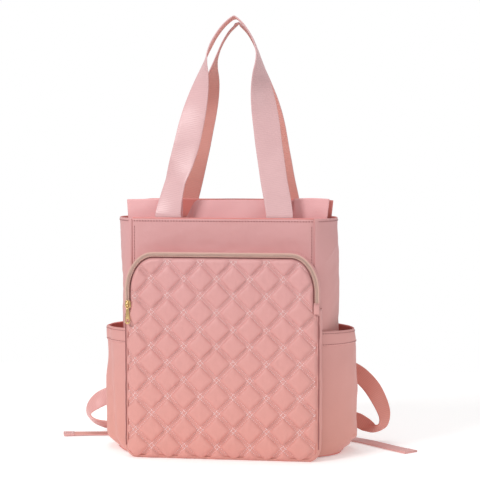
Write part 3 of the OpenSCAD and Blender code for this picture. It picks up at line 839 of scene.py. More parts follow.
def build_quilted_face():
    columns = face_columns()
    half = POCKET_HALF - FACE_INSET
    rx, rz = CORNER_W - FACE_INSET, CORNER_H - FACE_INSET
    over = np.maximum(np.abs(columns) - (half - rx), 0) / rx
    top = POCKET_TOP - FACE_INSET - rz * (1 - np.sqrt(np.clip(1 - over ** 2, 0, 1)))
    edge = np.array([0, 0.0012, 0.004, 0.008])
    share = np.concatenate([edge, np.linspace(0.012, 0.988, 236), 1 - edge[::-1]])
    foot_half = face_half(0.0)
    beyond = np.maximum(np.abs(columns) * foot_half / half - (foot_half - FOOT_R), 0)
    low = POCKET_FLOOR + FOOT_R - np.sqrt(np.clip(FOOT_R ** 2 - beyond ** 2, 0, None))
    z = low[None, :] + (top - low)[None, :] * share[:, None]
    x = columns[None, :] * face_half(z) / half
    front = xyz(x, face_y(x, z), z)
    # Between the quilting lines the padding pushes the free edges out into scallops
    first, second = quilt_lines(x, z)
    plump = SCALLOP * (puff_profile(first)[0] * puff_profile(second)[0] - SCALLOP_LEVEL)
    beside = smooth_step(1 - (face_half(z) - np.abs(x)) / 9) * smooth_step((ZIP_END_Z - 12 - z) / 14)
    below = smooth_step(1 - (z - POCKET_FLOOR) / 9)
    front[..., 0] += np.sign(x) * plump * beside
    front[..., 2] = np.maximum(front[..., 2] - plump * below, 0.3)
    back = front.copy()
    back[..., 1] = FACE_BACK_Y - 0.05
    points, faces, _ = solid_from_grids(front, back, 0.0)
    mount(make_piece("quilted_pocket_face", points, faces, "quilt"), "root", "pocket_face")


def build_quilt_stitches():
    """Two parallel rows of lock stitches along each quilting line, laid into the channel."""
    paths = []
    offset = ROW_HALF_GAP / QUILT_SPACING
    for family in (0, 1):
        for line in range(-8, 9):
            for side in (-offset, offset):
                x = np.arange(-140.0, 140.0, 0.8)
                a = (x - QUILT_CENTRE[0]) / QUILT_X
                b = (line + side - a) if family == 0 else (a - line - side)
                z = QUILT_CENTRE[1] + b * QUILT_Z
                for _ in range(3):
                    z = QUILT_CENTRE[1] + b * QUILT_Z - quilt_bend(x, z)
                on_face = (z > POCKET_FLOOR + 5) & (z < POCKET_TOP - FACE_INSET)
                on_face &= (np.abs(x) < face_half(z) - 3) & (face_edge_distance(x, z) > 3.2)
                if on_face.sum() > 8:
                    x, z = x[on_face], z[on_face]
                    paths.append(xyz(x, face_y(x, z) - 0.25, z))
    stitches("quilting_stitches", paths, (0, -1, 0), "thread", 0.62, 1.9, 1.1, 0.4)


def wall_grid(outline, outward, depth, swell):
    """A wall that runs back along an outline, moved outwards by swell at each depth."""
    x, z = (outline[:, k] + outward[:, k] * swell for k in (0, 1))
    return xyz(x, depth[:, None], z)


def build_upper_wall():
    """The pocket's wall round the top and down to the ends of its zip."""
    path, outward = arch_path(0.2, ZIP_END_Z, 2.5)
    depth = np.linspace(FRONT_Y - 0.3, ZIP_Y + 0.6, 14)
    share = (depth - depth[0]) / (depth[-1] - depth[0])
    run = np.arange(len(path)) * 2.5
    swell = -1.2 * np.sin(math.pi * share)[:, None] * (1 + 0.5 * ripple(run, 0, 95, 60))[None, :]
    grid = wall_grid(path, outward, depth, swell)
    cloth("pocket_upper_wall", grid, 1.6, "body", "pocket_upper_gusset", "inside")


def build_lower_wall():
    """Side and bottom walls of the pocket below the zip, as one strip round the foot corners."""
    half, foot = POCKET_HALF - 0.2, FOOT_R
    turn = np.linspace(0, math.pi / 2, 14)
    up = np.linspace(ZIP_END_Z - 0.4, POCKET_FLOOR + foot, 70)
    right = np.column_stack([np.full(70, half), up])
    corner = np.column_stack([half - foot + foot * np.cos(turn), POCKET_FLOOR + foot - foot * np.sin(turn)])
    corner = corner[1:]
    floor = np.column_stack([np.linspace(half - foot, foot - half, 80), np.full(80, POCKET_FLOOR)])[1:-1]
    outline = np.vstack([right, corner, floor, corner[::-1] * (-1, 1), right[::-1] * (-1, 1)])
    tangent = unit(np.gradient(outline, axis=0))
    outward = np.column_stack([-tangent[:, 1], tangent[:, 0]])
    depth = np.linspace(FRONT_Y - 0.3, FACE_BACK_Y - 0.6, 14)
    share = (depth - depth[0]) / (depth[-1] - depth[0])
    standing = smooth_step((outline[:, 1] - 8) / 20)
    fullness = (1.6 + 0.9 * ripple(run_along(outline), 0, 96, 60)) * standing
    swell = np.sin(math.pi * share)[:, None] * fullness[None, :]
    swell = swell - 3.0 * smooth_step((share - 0.84) / 0.16)[:, None]
    cloth("pocket_lower_wall", wall_grid(outline, outward, depth, swell), 1.6, "body", "pocket_lower_gusset")


def ring_points(inset, y, low_z, step=3.0):
    """Points along the zip's path at one depth, with their outward directions."""
    path, outward = arch_path(inset, low_z, step)
    return xyz(path[:, 0], y, path[:, 1]), xyz(outward[:, 0], 0.0, outward[:, 1])


COIL_INSET = 3.1


def build_pocket_zip():
    for part, inset in (("outer", 0.9), ("inner", 5.4)):
        node = "pocket_zip_tape_" + part
        tape = band(node + "_cloth", *ring_points(inset, ZIP_Y + 0.2, ZIP_END_Z), 2.4, 0.8, "tape")
        mount(tape, "root", node)
    points, outward = ring_points(COIL_INSET, ZIP_Y - 0.1, ZIP_END_Z + 3.5, 0.75)
    starts, ends = [], []
    for side in (-1, 1):
        chosen = slice(0 if side < 0 else 1, None, 2)
        starts.append(points[chosen] + outward[chosen] * 1.7 * side)
        ends.append(points[chosen] - outward[chosen] * 0.5 * side - (0, 0.2, 0))
    teeth = rods("pocket_zip_teeth", starts, ends, (0, -1, 0), 0.5, "coil", 0.3)
    mount(teeth, "root", "pocket_zip_coil")

    low = node_box("pocket_zip_stops")[0]
    middles = np.array([(side * (POCKET_HALF - COIL_INSET), low[1] + 0.8, low[2] + 0.6 + k * 0.9)
                        for side in (-1, 1) for k in range(3)])
    reach = (1.1, 0, 0)
    stops = rods("pocket_zip_stop_bars", middles - reach, middles + reach, (0, -1, 0), 0.55, "gold")
    mount(stops, "root", "pocket_zip_stops")

    # A scrap of the bag's cloth folded over the zip's right end
    x = np.linspace(POCKET_HALF - 7.2, POCKET_HALF + 0.6, 12)
    z = np.linspace(ZIP_END_Z - 6, ZIP_END_Z + 9, 16)
    across, up = np.meshgrid(x, z)
    crown = 0.9 * np.sin(math.pi * (across - x[0]) / (x[-1] - x[0]))
    crown = crown + 0.5 * np.sin(math.pi * (up - z[0]) / 15)
    cloth("pocket_zip_end_cover", xyz(across, ZIP_Y - 0.9 - crown, up), 0.9, "body")
    row = xyz(x, ZIP_Y - 2.6, z[-1] - 1.4)
    stitches("pocket_zip_end_stitches", [row], (0, -1, 0), radius=0.35, length=1.8, pause=0.6)

    # Row of dark stitches where the tape is sewn to the quilted face; their dark thread also paints the shade
    # line in the gap between zip and face
    points, _ = ring_points(FACE_INSET - 0.3, ZIP_Y - 0.3, ZIP_END_Z)
    stitches("pocket_tape_stitches", [points], (0, -1, 0), length=2.6, pause=0.5)


# ---------------------------------------------------------------- zip sliders and pulls
def slab(outline, thick):
    """Points and faces of a flat plate with the given outline, in its own XY plane."""
    outline = np.asarray(outline, float)
    count = len(outline)
    return np.vstack([xyz(*outline.T, z) for z in (-thick / 2, thick / 2)]), skin_faces(2, count)


def joined(parts):
    """One set of points and faces from several."""
    points, faces, start = [], [], 0
    for part_points, part_faces in parts:
        points.append(np.asarray(part_points, float))
        faces += [[v + start for v in face] for face in part_faces]
        start += len(part_points)
    return np.vstack(points), faces


def plate_with_hole(outline, hole, thick):
    """A flat plate with one hole; outline and hole have the same number of points."""
    outline, hole = np.asarray(outline, float), np.asarray(hole, float)
    count = len(outline)
    rings = [xyz(*ring.T, z) for ring, z in
             ((outline, thick / 2), (hole, thick / 2), (hole, -thick / 2), (outline, -thick / 2))]
    faces = [[r * count + k, r * count + (k + 1) % count, (r + 1) % 4 * count + (k + 1) % count,
              (r + 1) % 4 * count + k] for r in range(4) for k in range(count)]
    return np.vstack(rings), faces


def rounded_outline(x0, x1, half_start, half_end, count=32):
    """A tongue from x0 to x1 with full round ends of the given half-widths."""
    turn = np.linspace(-math.pi / 2, math.pi / 2, count // 2)
    far = np.column_stack([x1 - half_end + half_end * np.cos(turn), half_end * np.sin(turn)])
    near = np.column_stack([x0 + half_start - half_start * np.cos(turn), -half_start * np.sin(turn)])
    return np.vstack([far, near])


PLATE_T, BRIDGE_H, PIN_LIFT = 1.6, 4.0, 2.95


def slider_shape():
    """Upper plate, flanges and the bridge that holds the pull, with the plate's foot on z = 0."""
    nose = [(5.5, 1.6), (3.6, 4.3), (-3.8, 3.6), (-5.5, 2.6)]
    plate, faces = slab(nose + [(x, -y) for x, y in nose[::-1]], PLATE_T)
    plate[:, 2] += PLATE_T / 2
    arc = np.linspace(0, math.pi, 14)
    spine = xyz(3.2 * np.cos(arc), 0.0, PLATE_T - 0.2 + (BRIDGE_H - 0.4) * np.sin(arc) ** 0.6)
    tangent = unit(np.gradient(spine, axis=0))
    normal = xyz(tangent[:, 2], 0.0, -tangent[:, 0])
    bridge = np.concatenate([[middle + out * a + (0, b, 0) for a, b in
                              ((-0.5, -1.1), (0.5, -1.1), (0.5, 1.1), (-0.5, 1.1))]
                             for middle, out in zip(spine, normal)])
    return joined([(plate, faces), (bridge, skin_faces(len(spine), 4))])


def pull_shape(length):
    """Pull tab along +X from its pin on the origin: eye, waist and long tongue with a hole."""
    eye = plate_with_hole(rounded_outline(-1.7, 7.5, 2.9, 2.0), rounded_outline(-0.7, 4.6, 1.9, 1.2), 1.3)
    tongue = plate_with_hole(rounded_outline(5.6, length, 2.2, 3.5),
                             rounded_outline(length - 7.5, length - 2.6, 1.3, 1.6), 1.5)
    return joined([eye, tongue])


def build_sliders():
    upright = np.eye(3)
    # The pocket's slider stands on the face: its length hangs down -Z and its bridge points to -Y
    hanging = [[0, 1, 0], [0, 0, -1], [-1, 0, 0]]
    for label, basis, length in (("top", upright, 24.0), ("pocket", hanging, 28.0)):
        low, high = node_box(label + "_zip_slider")
        centre = (low + high) / 2
        if label == "top":
            foot = (centre[0], centre[1], low[2])
            pin = (centre[0], centre[1], low[2] + PIN_LIFT)
        else:
            foot = (centre[0], high[1], centre[2])
            pin = (centre[0], high[1] - PIN_LIFT, centre[2])
        for shape, place, part in ((slider_shape(), foot, "slider"), (pull_shape(length), pin, "pull")):
            name = f"{label}_zip_{part}"
            points = shape[0] @ np.asarray(basis, float).T + place
            piece = bevelled(make_piece(name + "_metal", points, shape[1], "gold"), 0.35)
            mount(piece, name, name)


# ---------------------------------------------------------------- side pockets
def side_pocket_x(side, y, z):
    """Outer face of a side pocket: full in the middle, rounded in at the foot, with soft folds."""
    bow = SIDE_BOW + 1.5 - 20 * (1 - smooth_step(z / 26.0)) ** 1.6 - 3.5 * smooth_step((z - 110) / 70)
    middle = side_bulge(y, 0.9)
    fold = 1.8 * ripple(y * 0.9, z, 101 + side, 85) + 0.7 * ripple(y, z, 111 + side, 32)
    if side < 0:
        # Upright folds run down the left pocket and gather at its foot
        drift = 0.10 * (z - 60)
        slump = (2.0 * np.exp(-((y + 47 - drift) / 5.0) ** 2) - 3.4 * np.exp(-((y + 36 - drift) / 6.0) ** 2)
                 + 2.4 * np.exp(-((y + 24 - drift) / 7.0) ** 2) - 1.8 * np.exp(-((y + 8 - drift) / 8.0) ** 2))
        slump = slump * (0.35 + 0.65 * smooth_step((150 - z) / 90)) * smooth_step(z / 16)
    else:
        # Creases spread from a pinch low down in the middle of the other pocket
        reach, turn = np.hypot(y - 6, z - 12), np.arctan2(z - 12, y - 6)
        slump = 3.0 * np.sin(6.0 * turn + 0.5) * np.exp(-reach / 26.0) * smooth_step(reach / 8.0)
        slump = slump - 3.5 * np.exp(-(reach / 9.0) ** 2)
    folded = (fold + slump) * np.clip(middle * 1.3, 0, 1)
    return side * (SEAM_X[side] + (bow + HALF_W - SEAM_X[side]) * middle + folded)


def build_side_pockets():
    depth = BACK_Y * np.sin(np.linspace(-math.pi / 2, math.pi / 2, 80))
    for side, label in SIDES:
        z = np.concatenate([np.linspace(2.0, 26, 20)[:-1], np.linspace(26, SIDE_HEM_LOW, 84)])
        y, up = np.meshgrid(depth * side, z)
        grid = xyz(side_pocket_x(side, y, up), y * 0.997, up)
        cloth(label + "_side_pocket_cloth", grid, 2.0, "body", label + "_side_pocket", "inside")

        z = np.linspace(SIDE_HEM_LOW - 0.5, SIDE_HEM_HIGH, 16)
        y, up = np.meshgrid(depth * side, z)
        dip = 1.6 * side_bulge(y) * (up - SIDE_HEM_LOW) / (SIDE_HEM_HIGH - SIDE_HEM_LOW)
        bead = 0.9 + 0.5 * np.sin(math.pi * (up - z[0]) / (z[-1] - z[0]))
        x = side_pocket_x(side, y, up) + side * bead * np.clip(side_bulge(y) * 3, 0, 1)
        grid = xyz(x, y * 1.001, up - dip)
        cloth(label + "_pocket_hem_cloth", grid, 2.8, "body", label + "_pocket_hem", "inside")

        # The pocket's floor joins the foot of its wall to the body
        ring, inner = (xyz(edge_x(side, depth, np.full(80, 3.0)), depth, 2.6)
                       for edge_x in (side_pocket_x, gusset_x))
        share = np.linspace(0, 1, 10)[:, None, None]
        grid = inner[None] * (1 - share) + ring[None] * share
        grid[..., 2] += 1.2 * np.sin(math.pi * share[..., 0])
        if side > 0:
            grid = grid[:, ::-1]
        # The floor takes the inside look: painted shade inside the pocket.
        cloth(label + "_side_pocket_floor", grid, 1.8, "inside", label + "_side_pocket")


# ---------------------------------------------------------------- webbing handles
HANDLE_W, HANDLE_T = 38.0, 2.0
HANDLE_FOOT_Z = BODY_H + 1.5
HANDLE_FOOT_Y, HANDLE_TOP_Y = 60.4, 20.2
HANDLE_TOP_X, HANDLE_RISE = 8.5, 281.0
# Half of a handle from its foot to its top: distance from the middle, height above the hem, twist
HANDLE_HALF = [
    (78, 0, 0), (78, 6, 0), (74, 26, 0), (68, 52, 0), (63, 78, 0), (58, 104, 3), (54, 128, 8), (50, 150, 18),
    (46, 172, 33), (43, 190, 48), (41, 205, 62), (39.5, 218, 76), (37, 231, 86), (32, 245, 90),
    (25, 259, 90), (16, 272, 90), (7, 281, 90)
]
SEWN_END_Z = BODY_H - 19.0
FOOT_X = {-1: -80.5, 1: 78.0}
# For the front and the back handle: share of the full rise, and turn of the crown in degrees
STANCE = {-1: (1.0, 4.5), 1: (0.982, 8.0)}
# The left legs lean out and turn round this height above the hem, the back one far less
LEG_TURN_HEIGHT, LEG_TURN_REACH, LEG_TURN_DEGREES = 46, 34.0, 33
LEG_TURN_SHARE = {-1: 1.0, 1: 0.2}
# The back handle's shoulders stand aside of the front one's by this much near the given share of the rise
BACK_SHIFT, BACK_SHIFT_AT, BACK_SHIFT_REACH = {-1: 4.0, 1: -4.5}, 0.8, 0.2


def handle_route(face):
    """Points and width directions of a handle; face is -1 for the front one and 1 for the back one."""
    points, widths = [], []
    rise, turn = STANCE[face]
    for side in (-1, 1):
        leg = [(FOOT_X[side], HANDLE_FOOT_Y, z) for z in (SEWN_END_Z, (SEWN_END_Z + HANDLE_FOOT_Z) / 2)]
        turns = [(-side, 0, 0), (-side, 0, 0)]
        for out, height, twist in HANDLE_HALF:
            share = max(height - 6, 0) / HANDLE_RISE
            aside = side * out + HANDLE_TOP_X * share
            if side < 0:
                leg_turn = math.exp(-((height - LEG_TURN_HEIGHT) / LEG_TURN_REACH) ** 2)
                leg_turn *= LEG_TURN_SHARE[face]
                aside += -2.5 * (1 - share) - 3.0 * leg_turn
                twist = twist + LEG_TURN_DEGREES * leg_turn
            if face > 0:
                aside += BACK_SHIFT[side] * math.exp(-((share - BACK_SHIFT_AT) / BACK_SHIFT_REACH) ** 2)
            leg.append((aside, HANDLE_FOOT_Y + (HANDLE_TOP_Y - HANDLE_FOOT_Y) * share,
                        HANDLE_FOOT_Z + height * rise))
            angle = math.radians(twist) * (90 - turn * side * face) / 90
            turns.append((-side * math.cos(angle), math.sin(angle), 0))
        points.append(leg)
        widths.append(turns)
    crown = [(HANDLE_TOP_X, HANDLE_TOP_Y, HANDLE_FOOT_Z + (HANDLE_RISE + 4) * rise)]
    crown_width = (-face * math.sin(math.radians(turn)), math.cos(math.radians(turn)), 0)
    points = np.array(points[0] + crown + points[1][::-1], float)
    widths = np.array(widths[0] + [crown_width] + widths[1][::-1], float)
    points[:, 1] *= face
    widths[:, 1] *= face
    return points, widths * face


def build_handles():
    for face, label in FACES:
        handle = label + "_handle"
        points, widths = handle_route(face)
        piece = band(handle + "_webbing", points, widths, HANDLE_W, HANDLE_T, "web_pale", 2.5, "web_salmon")
        hang(piece, (handle, handle + "_ends"))


# ---------------------------------------------------------------- shoulder straps
STRAP_TOP_X, STRAP_LEAN = 48.0, math.radians(6.0)
STRAP_W, STRAP_T, STRAP_LEN = 58.0, 10.0, 176.0
STRAP_PLACE_Y, STRAP_PIVOT_Z = BACK_Y + 1.5, BODY_H - 17.0
STRAP_PLACE_Z = STRAP_PIVOT_Z - 3.5
LOCK_W, LOCK_T, LOCK_TOP = 34.0, 5.0, -STRAP_LEN - 7.0
LOCK_Y = STRAP_T / 2
WEB_W, WEB_T = 25.0, 1.6
SWELL_FRAMES = 20


def on_strap(side, points):
    """Takes points from a strap's own frame, hanging down -Z from its top edge, to the bag's."""
    points = np.asarray(points, float)
    lean = -side * STRAP_LEAN
    x = points[..., 0] * math.cos(lean) + points[..., 2] * math.sin(lean)
    z = -points[..., 0] * math.sin(lean) + points[..., 2] * math.cos(lean)
    return xyz(x + side * STRAP_TOP_X, points[..., 1] + STRAP_PLACE_Y, z + STRAP_PLACE_Z)


def strap_outline(inset):
    """Strap outline in its own XZ plane, moved in: square top, round bottom corners."""
    half, low, corner = STRAP_W / 2 - inset, -STRAP_LEN + inset, 12.0
    turn = np.linspace(0, math.pi / 2, 10)
    right = np.column_stack([half - corner + corner * np.cos(turn), low + corner - corner * np.sin(turn)])
    edge = np.column_stack([np.full(40, half), np.linspace(-inset, low + corner, 40)])[:-1]
    foot = np.column_stack([np.linspace(half - corner, corner - half, 14), np.full(14, low)])[1:-1]
    head = np.column_stack([np.linspace(-half, half, 24), np.full(24, -inset)])[1:-1]
    return np.vstack([edge, right, foot, right[::-1] * (-1, 1), edge[::-1] * (-1, 1), head])


def inflate(piece, voxel_mm, pressure, cap_mm):
    """Blows a closed cloth form up like stuffed fabric, with a limit on how far a point may move."""
    scene = bpy.context.scene
    remesh = piece.modifiers.new("remesh", "REMESH")
    remesh.mode = "VOXEL"
    remesh.voxel_size = voxel_mm * MM
    bake(piece)
    rest = np.zeros(len(piece.data.vertices) * 3)
    piece.data.vertices.foreach_get("co", rest)
    blown = piece.modifiers.new("cloth", "CLOTH")
    blown.settings.quality = 6
    blown.settings.use_pressure = True
    blown.settings.uniform_pressure_force = pressure
    blown.settings.effector_weights.gravity = 0.0
    blown.point_cache.frame_start, blown.point_cache.frame_end = 1, SWELL_FRAMES
    for step in range(1, SWELL_FRAMES + 1):
        scene.frame_set(step)
    bake(piece)
    moved = np.zeros(len(rest))
    piece.data.vertices.foreach_get("co", moved)
    move = (moved - rest).reshape(-1, 3)
    length = np.linalg.norm(move, axis=1, keepdims=True)
    move = move * np.minimum(1.0, cap_mm * MM / np.maximum(length, 1e-9))
    piece.data.vertices.foreach_set("co", rest + move.ravel())
    scene.frame_set(1)
    piece.modifiers.new("smooth", "SUBSURF").levels = 1
    bake(piece)
    piece.data.polygons.foreach_set("use_smooth", np.ones(len(piece.data.polygons), bool))


def strap_form(inset, squeeze):
    """Rings of a flat pad between the strap's two faces, from the back of the bag outwards."""
    profile = ((squeeze, 5.0), (squeeze + 0.6, 1.2), (STRAP_T / 2, 0.0), (STRAP_T - squeeze - 0.6, 1.2),
               (STRAP_T - squeeze, 5.0))
    rings = []
    for depth, extra in profile:
        outline = strap_outline(inset + extra)
        rings.append(xyz(outline[:, 0], depth, outline[:, 1]))
    return rings


def build_straps():
    for side, label in SIDES:
        body = label + "_strap"
        cover = loft(body + "_cover", [on_strap(side, ring) for ring in strap_form(2.0, 2.2)], "strap")
        inflate(cover, 4.0, 4.0, 4.0)
        mount(cover, body, label + "_shoulder_strap")
        pad = loft(label + "_foam_pad", [on_strap(side, ring) for ring in strap_form(6.0, 3.4)], "foam")
        bevelled(pad, 0.8, 2)
        mount(pad, body, body + "_foam")

        # Binding runs round the strap's edge, except along its top
        outline = strap_outline(1.6)[:-22]
        edge = smooth_path(xyz(outline[:, 0], STRAP_T / 2, outline[:, 1]), 2.5)[0]
        mount(tube(body + "_binding", on_strap(side, edge), 2.2, "body"), body)

        # Loop of webbing from the strap's foot round the lock's top bar
        route = [(0, 1.6, -168), (0, 1.3, -176), (0, 1.3, -184), (0, 2.2, -188), (0, 5.0, -188.8),
                 (0, 7.8, -188), (0, 8.7, -184), (0, 8.7, -176), (0, 8.4, -168)]
        across = np.broadcast_to(on_strap(side, [(1, 0, 0)]) - on_strap(side, [(0, 0, 0)]), (9, 3))
        loop = label + "_lock_loop"
        piece = band(loop + "_webbing", on_strap(side, route), across, WEB_W, WEB_T, "web_strap", 1.2)
        mount(piece, body, loop)
        build_ladder_lock(side, label)

    low, high = node_box("strap_yoke")
    x, z = np.meshgrid(np.linspace(high[0], low[0], 90), np.linspace(low[2] - 0.5, high[2] + 0.5, 14))
    bulge = 1.0 * np.sin(math.pi * np.clip((z - low[2]) / (high[2] - low[2]), 0, 1))
    bulge = bulge + 0.25 * ripple(x, z, 121, 24)
    cloth("strap_yoke_cloth", xyz(x, high[1] + bulge, z), 1.8, "body", "strap_yoke")
    rows = [xyz(x[0], high[1] + 0.9, level) for level in (low[2] + 2, high[2] - 2)]
    stitches("strap_yoke_stitches", rows, (0, 1, 0), "thread")


def build_ladder_lock(side, label):
    """Moulded frame with three slots, as a bevelled cell solid."""
    cuts_x = [-LOCK_W / 2, -13.3, 13.3, LOCK_W / 2]
    cuts_z = [0, -4, -11, -15, -19.5, -23, -26, -30]
    open_rows = (1, 3, 5)
    filled = [[not (row in open_rows and column == 1) for column in range(3)] for row in range(7)]
    points, faces, known = [], [], {}

    def point(column, row, face):
        key = (column, row, face)
        if key not in known:
            known[key] = len(points)
            waist = 1.0 - 0.06 * math.sin(math.pi * -cuts_z[row] / 30)
            depth = LOCK_Y + (face - 0.5) * (LOCK_T - 0.4)
            points.append((cuts_x[column] * waist, depth, LOCK_TOP + cuts_z[row]))
        return known[key]

    for row in range(7):
        for column in range(3):
            if not filled[row][column]:
                continue
            corners = [(column, row), (column + 1, row), (column + 1, row + 1), (column, row + 1)]
            for face in (0, 1):
                faces.append([point(a, b, face) for a, b in corners])
            beside = [(0, -1), (1, 0), (0, 1), (-1, 0)]
            for k, (dx, dz) in enumerate(beside):
                r, c = row + dz, column + dx
                if not (0 <= r < 7 and 0 <= c < 3) or not filled[r][c]:
                    (a, b), (p, q) = corners[k], corners[(k + 1) % 4]
                    faces.append([point(a, b, 0), point(p, q, 0), point(p, q, 1), point(a, b, 1)])
    lock = bevelled(make_piece(label + "_ladder_lock_plastic", on_strap(side, points), faces, "plastic"), 0.9)
    mount(lock, label + "_strap", label + "_ladder_lock")


# ---------------------------------------------------------------- adjusting webbing and its tails
# Routes from the ladder locks to the anchors, the width direction at each point, and the free tails
WEBBING = {
    "left": (
        [(-71, 73.6, 97), (-88, 75, 96), (-115, 77, 93), (-140, 78, 88), (-165, 77, 79), (-188, 76, 66),
         (-212, 74, 55), (-227, 73, 43), (-231, 72, 31), (-222, 71, 21), (-204, 70, 16), (-182, 70, 15),
         (-157, 69, 18), (-140, 68.6, 19), (-120, 68.4, 18)],
        [(0, 0, 1), (0, 0, 1), (0, 0, 1), (0, 0, 1), (0, 0.1, 1), (-0.1, 0.2, 1), (-0.3, 0.3, 0.9),
         (-0.5, 0.7, 0.5), (-0.5, 0.9, 0), (-0.3, 0.9, -0.4), (-0.1, 0.8, -0.6), (0, 0.8, -0.6),
         (0, 0.3, -0.9), (0, 0.05, -1), (0, 0, -1)],
        [(-68, 74.5, 120), (-68.4, 79, 112), (-69, 84, 102), (-76, 88, 76), (-86, 91, 50), (-100, 93, 26),
         (-118, 93, 9), (-138, 90, 3), (-165, 84, 1.6), (-195, 76, 1.6), (-225, 69, 1.7), (-252, 61, 2.2)],
        [(1, 0, 0), (1, 0, 0), (1, 0, 0), (1, 0.1, 0.3), (1, 0.3, 0.5), (0.8, 0.6, 0.6), (0.2, 1, 0.2)]
        + [(0, 1, 0)] * 5,
    ),
    "right": (
        [(71, 73.6, 102), (91, 75, 103), (115, 78, 108), (140, 78, 112), (162, 77, 110), (182, 76, 101),
         (200, 75, 84), (213, 74, 63), (221, 73, 42), (219, 72, 26), (207, 71, 20), (193, 70, 26),
         (178, 69.6, 33), (158, 69.4, 30), (142, 69.4, 21), (120, 68.6, 17)],
        [(0, 0, 1), (0, 0, 1), (0, 0, 1), (0, 0, 1), (0, 0.1, 1), (0.3, 0.1, 0.9), (0.6, 0.1, 0.8),
         (0.7, 0.5, 0.5), (0.6, 0.7, 0.2), (0.5, 0.9, -0.3), (-0.1, 0.8, -0.6), (-0.4, 0.4, -0.8),
         (-0.2, 0.3, -0.9), (0.1, 0.1, -1), (0, 0, -1), (0, 0, -1)],
        [(68, 74.5, 120), (68.4, 79, 112), (69, 84, 102), (78, 88, 76), (90, 91, 50), (105, 94, 26),
         (124, 95, 9), (146, 92, 3), (170, 82, 1.6), (193, 64, 1.6), (214, 43, 1.6), (234, 22, 1.6),
         (252, 4, 1.6)],
        [(-1, 0, 0), (-1, 0, 0), (-1, 0, 0), (-1, 0.1, 0.3), (-1, 0.3, 0.5), (-0.8, 0.6, 0.6), (-0.2, 1, 0.2),
         (0.1, 1, 0), (0.5, 1, 0), (0.8, 1, 0), (1, 1, 0), (1, 1, 0), (1, 1, 0)],
    ),
}


def build_webbings():
    for side, label in SIDES:
        route, widths, tail, tail_widths = WEBBING[label]
        strap = label + "_strap"
        # On the right the band's showing face takes the shaded webbing: painted shade.
        lower = band(label + "_lower_webbing_band", route, widths, WEB_W, WEB_T,
                     "web_painted_shade" if side > 0 else "web_salmon", 2.5, "web_strap")
        hang(lower, [label + "_lower_webbing"])

        # Out of the lock's lowest slot and down
        descent = [(0, 3.2, LOCK_TOP - 18), (0, 4.0, LOCK_TOP - 26), (0, 5.6, LOCK_TOP - 34),
                   (0, 6.0, LOCK_TOP - 44)]
        drop = band(label + "_webbing_turn", on_strap(side, descent), [(1, 0, 0)] * 4, WEB_W, WEB_T,
                    "web_strap")
        mount(drop, strap, label + "_lower_webbing")

        free = band(label + "_tail_band", tail, tail_widths, WEB_W, WEB_T, "web_strap", 2.5, "web_salmon")
        free_centre, free_width, _ = band_frames(tail, tail_widths)
        end, heading, width = free_centre[-1], unit(free_centre[-1] - free_centre[-2]), free_width[-1]
        fold = [end + heading * ahead + (0, 0, 0.1) for ahead in (-1.0, 5, 15.6)]
        hem = band(label + "_tail_fold", fold, [width] * 3, WEB_W, 2.7, "web_strap")
        corners = [end + heading * a + width * b + (0, 0, 1.45) for a, b in
                   ((2, -9.5), (2, 9.5), (13, 9.5), (13, -9.5), (2, -9.5))]
        box_path = [np.linspace(corners[k], corners[k + 1], 12) for k in range(4)]
        starts, ends = zip(*(stitch_run(path, 2.4, 0.9) for path in box_path))
        sewn = rods(label + "_tail_stitches", starts, ends, (0, 0, 1), 0.35, "thread", 0.2)
        for piece, node in ((free, "_webbing_tail"), (hem, "_tail_hem"), (sewn, "_tail_hem")):
            hang(piece, [label + node])

        # The anchor tab narrows a little towards its top
        low, high = node_box(label + "_anchor_tab")
        share = np.linspace(0, 1, 14)[:, None]
        middle = (low[0] + high[0]) / 2
        x = middle + (np.linspace(high[0], low[0], 20) - middle) * (0.86 + 0.14 * (1 - share))
        grid = xyz(x, high[1] - 0.4 + 0.5 * np.sin(math.pi * share), low[2] + (high[2] - low[2]) * share)
        cloth(label + "_anchor_tab_cloth", grid, 2.0, "body", label + "_anchor_tab")


# ---------------------------------------------------------------- seams and hems
HEM_ROW_Z = BODY_H - 3.2


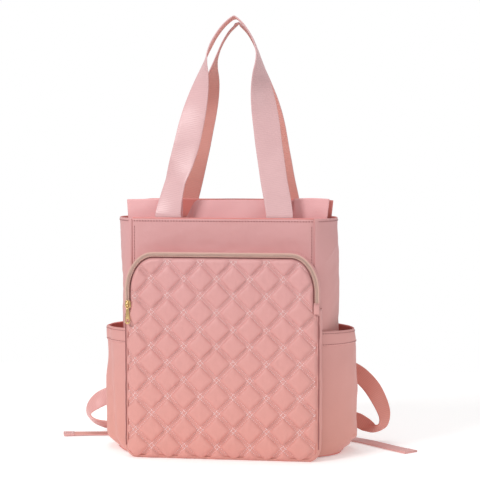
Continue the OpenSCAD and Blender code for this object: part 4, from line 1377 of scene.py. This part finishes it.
def build_seams():
    x = np.linspace(2 - SEAM_X[-1], SEAM_X[1] - 2, 260)
    for face, label in FACES:
        z = np.full(len(x), HEM_ROW_Z)
        row = xyz(x, panel_y(face, x, z) + face * 0.15, z)
        stitches("hem_stitches_" + label, [row], (0, face, 0), radius=0.6, length=2.6, pause=1.5)
    # A dark cord along each top rim, just inside the panel: a painted shadow line in the gap at the hem.
    for face, label in FACES:
        rim = xyz(x, panel_y(face, x, np.full(len(x), BODY_H)) - face * 0.9, BODY_H + 0.6)
        seam_cord("hem_painted_shadow_" + label, rim, 1.0, "inside")

    for face, label in FACES:
        paths = []
        for side in (-1, 1):
            z = np.linspace(8, BODY_H - 6, 260)
            edge = np.full(len(z), side * (SEAM_X[side] - 4.5))
            paths.append(xyz(edge, panel_y(face, edge, z) + face * 0.15, z))
        stitches("panel_edge_stitches_" + label, paths, (0, face, 0))
        for side, name in SIDES:
            line = xyz(side * (SEAM_X[side] + 0.2), face * (BACK_Y - 1.4), np.linspace(4, BODY_H - 1, 130))
            seam_cord(f"seam_{label}_{name}", line, 0.75)

    # Dark seam between the quilted face and the pocket's side walls: a real seam, whose dark cord also paints
    # the shade in that gap
    for side, label in SIDES:
        z = np.linspace(FOOT_R + 2, ZIP_END_Z - 9, 120)
        sway = 0.3 * ripple(z, 7.0 * side, 97, 40)
        line = xyz(side * (POCKET_HALF - 0.1) + sway, FACE_BACK_Y - 1.2, z)
        seam_cord("pocket_face_seam_" + label, line, 0.7)

    hems, pocket_hems = [], []
    for side in (-1, 1):
        y = np.linspace(-BACK_Y + 3, BACK_Y - 3, 120)
        z = np.full(len(y), HEM_ROW_Z)
        hems.append(xyz(gusset_x(side, y, z) + side * 0.15, y, z))
        y = np.linspace(-BACK_Y + 3, BACK_Y - 3, 150)
        for level in (SIDE_HEM_LOW + 2.0, SIDE_HEM_HIGH - 3.0):
            z = np.full(len(y), level)
            dip = 1.6 * side_bulge(y) * (level - SIDE_HEM_LOW) / (SIDE_HEM_HIGH - SIDE_HEM_LOW)
            bead = 0.9 + 0.5 * np.sin(math.pi * (level - SIDE_HEM_LOW) / (SIDE_HEM_HIGH - SIDE_HEM_LOW))
            x = side_pocket_x(side, y, z) + side * (bead + 0.1) * np.clip(side_bulge(y) * 3, 0, 1)
            pocket_hems.append(xyz(x, y, z - dip))
    outward = [(-1, 0, 0), (1, 0, 0)]
    stitches("gusset_hem_stitches", hems, outward, length=3.2, pause=0.9)
    outward = [outward[0]] * 2 + [outward[1]] * 2
    stitches("side_pocket_hem_stitches", pocket_hems, outward, radius=0.4, pause=1.0)


# ---------------------------------------------------------------- everything, in order
add_camera()
add_stage()
MATERIALS = make_materials()
build_panels()
build_gussets()
build_bottom_and_inside()
build_collars()
build_top_zip()
build_quilted_face()
build_quilt_stitches()
build_upper_wall()
build_lower_wall()
build_pocket_zip()
build_sliders()
build_side_pockets()
build_handles()
build_straps()
build_webbings()
build_seams()
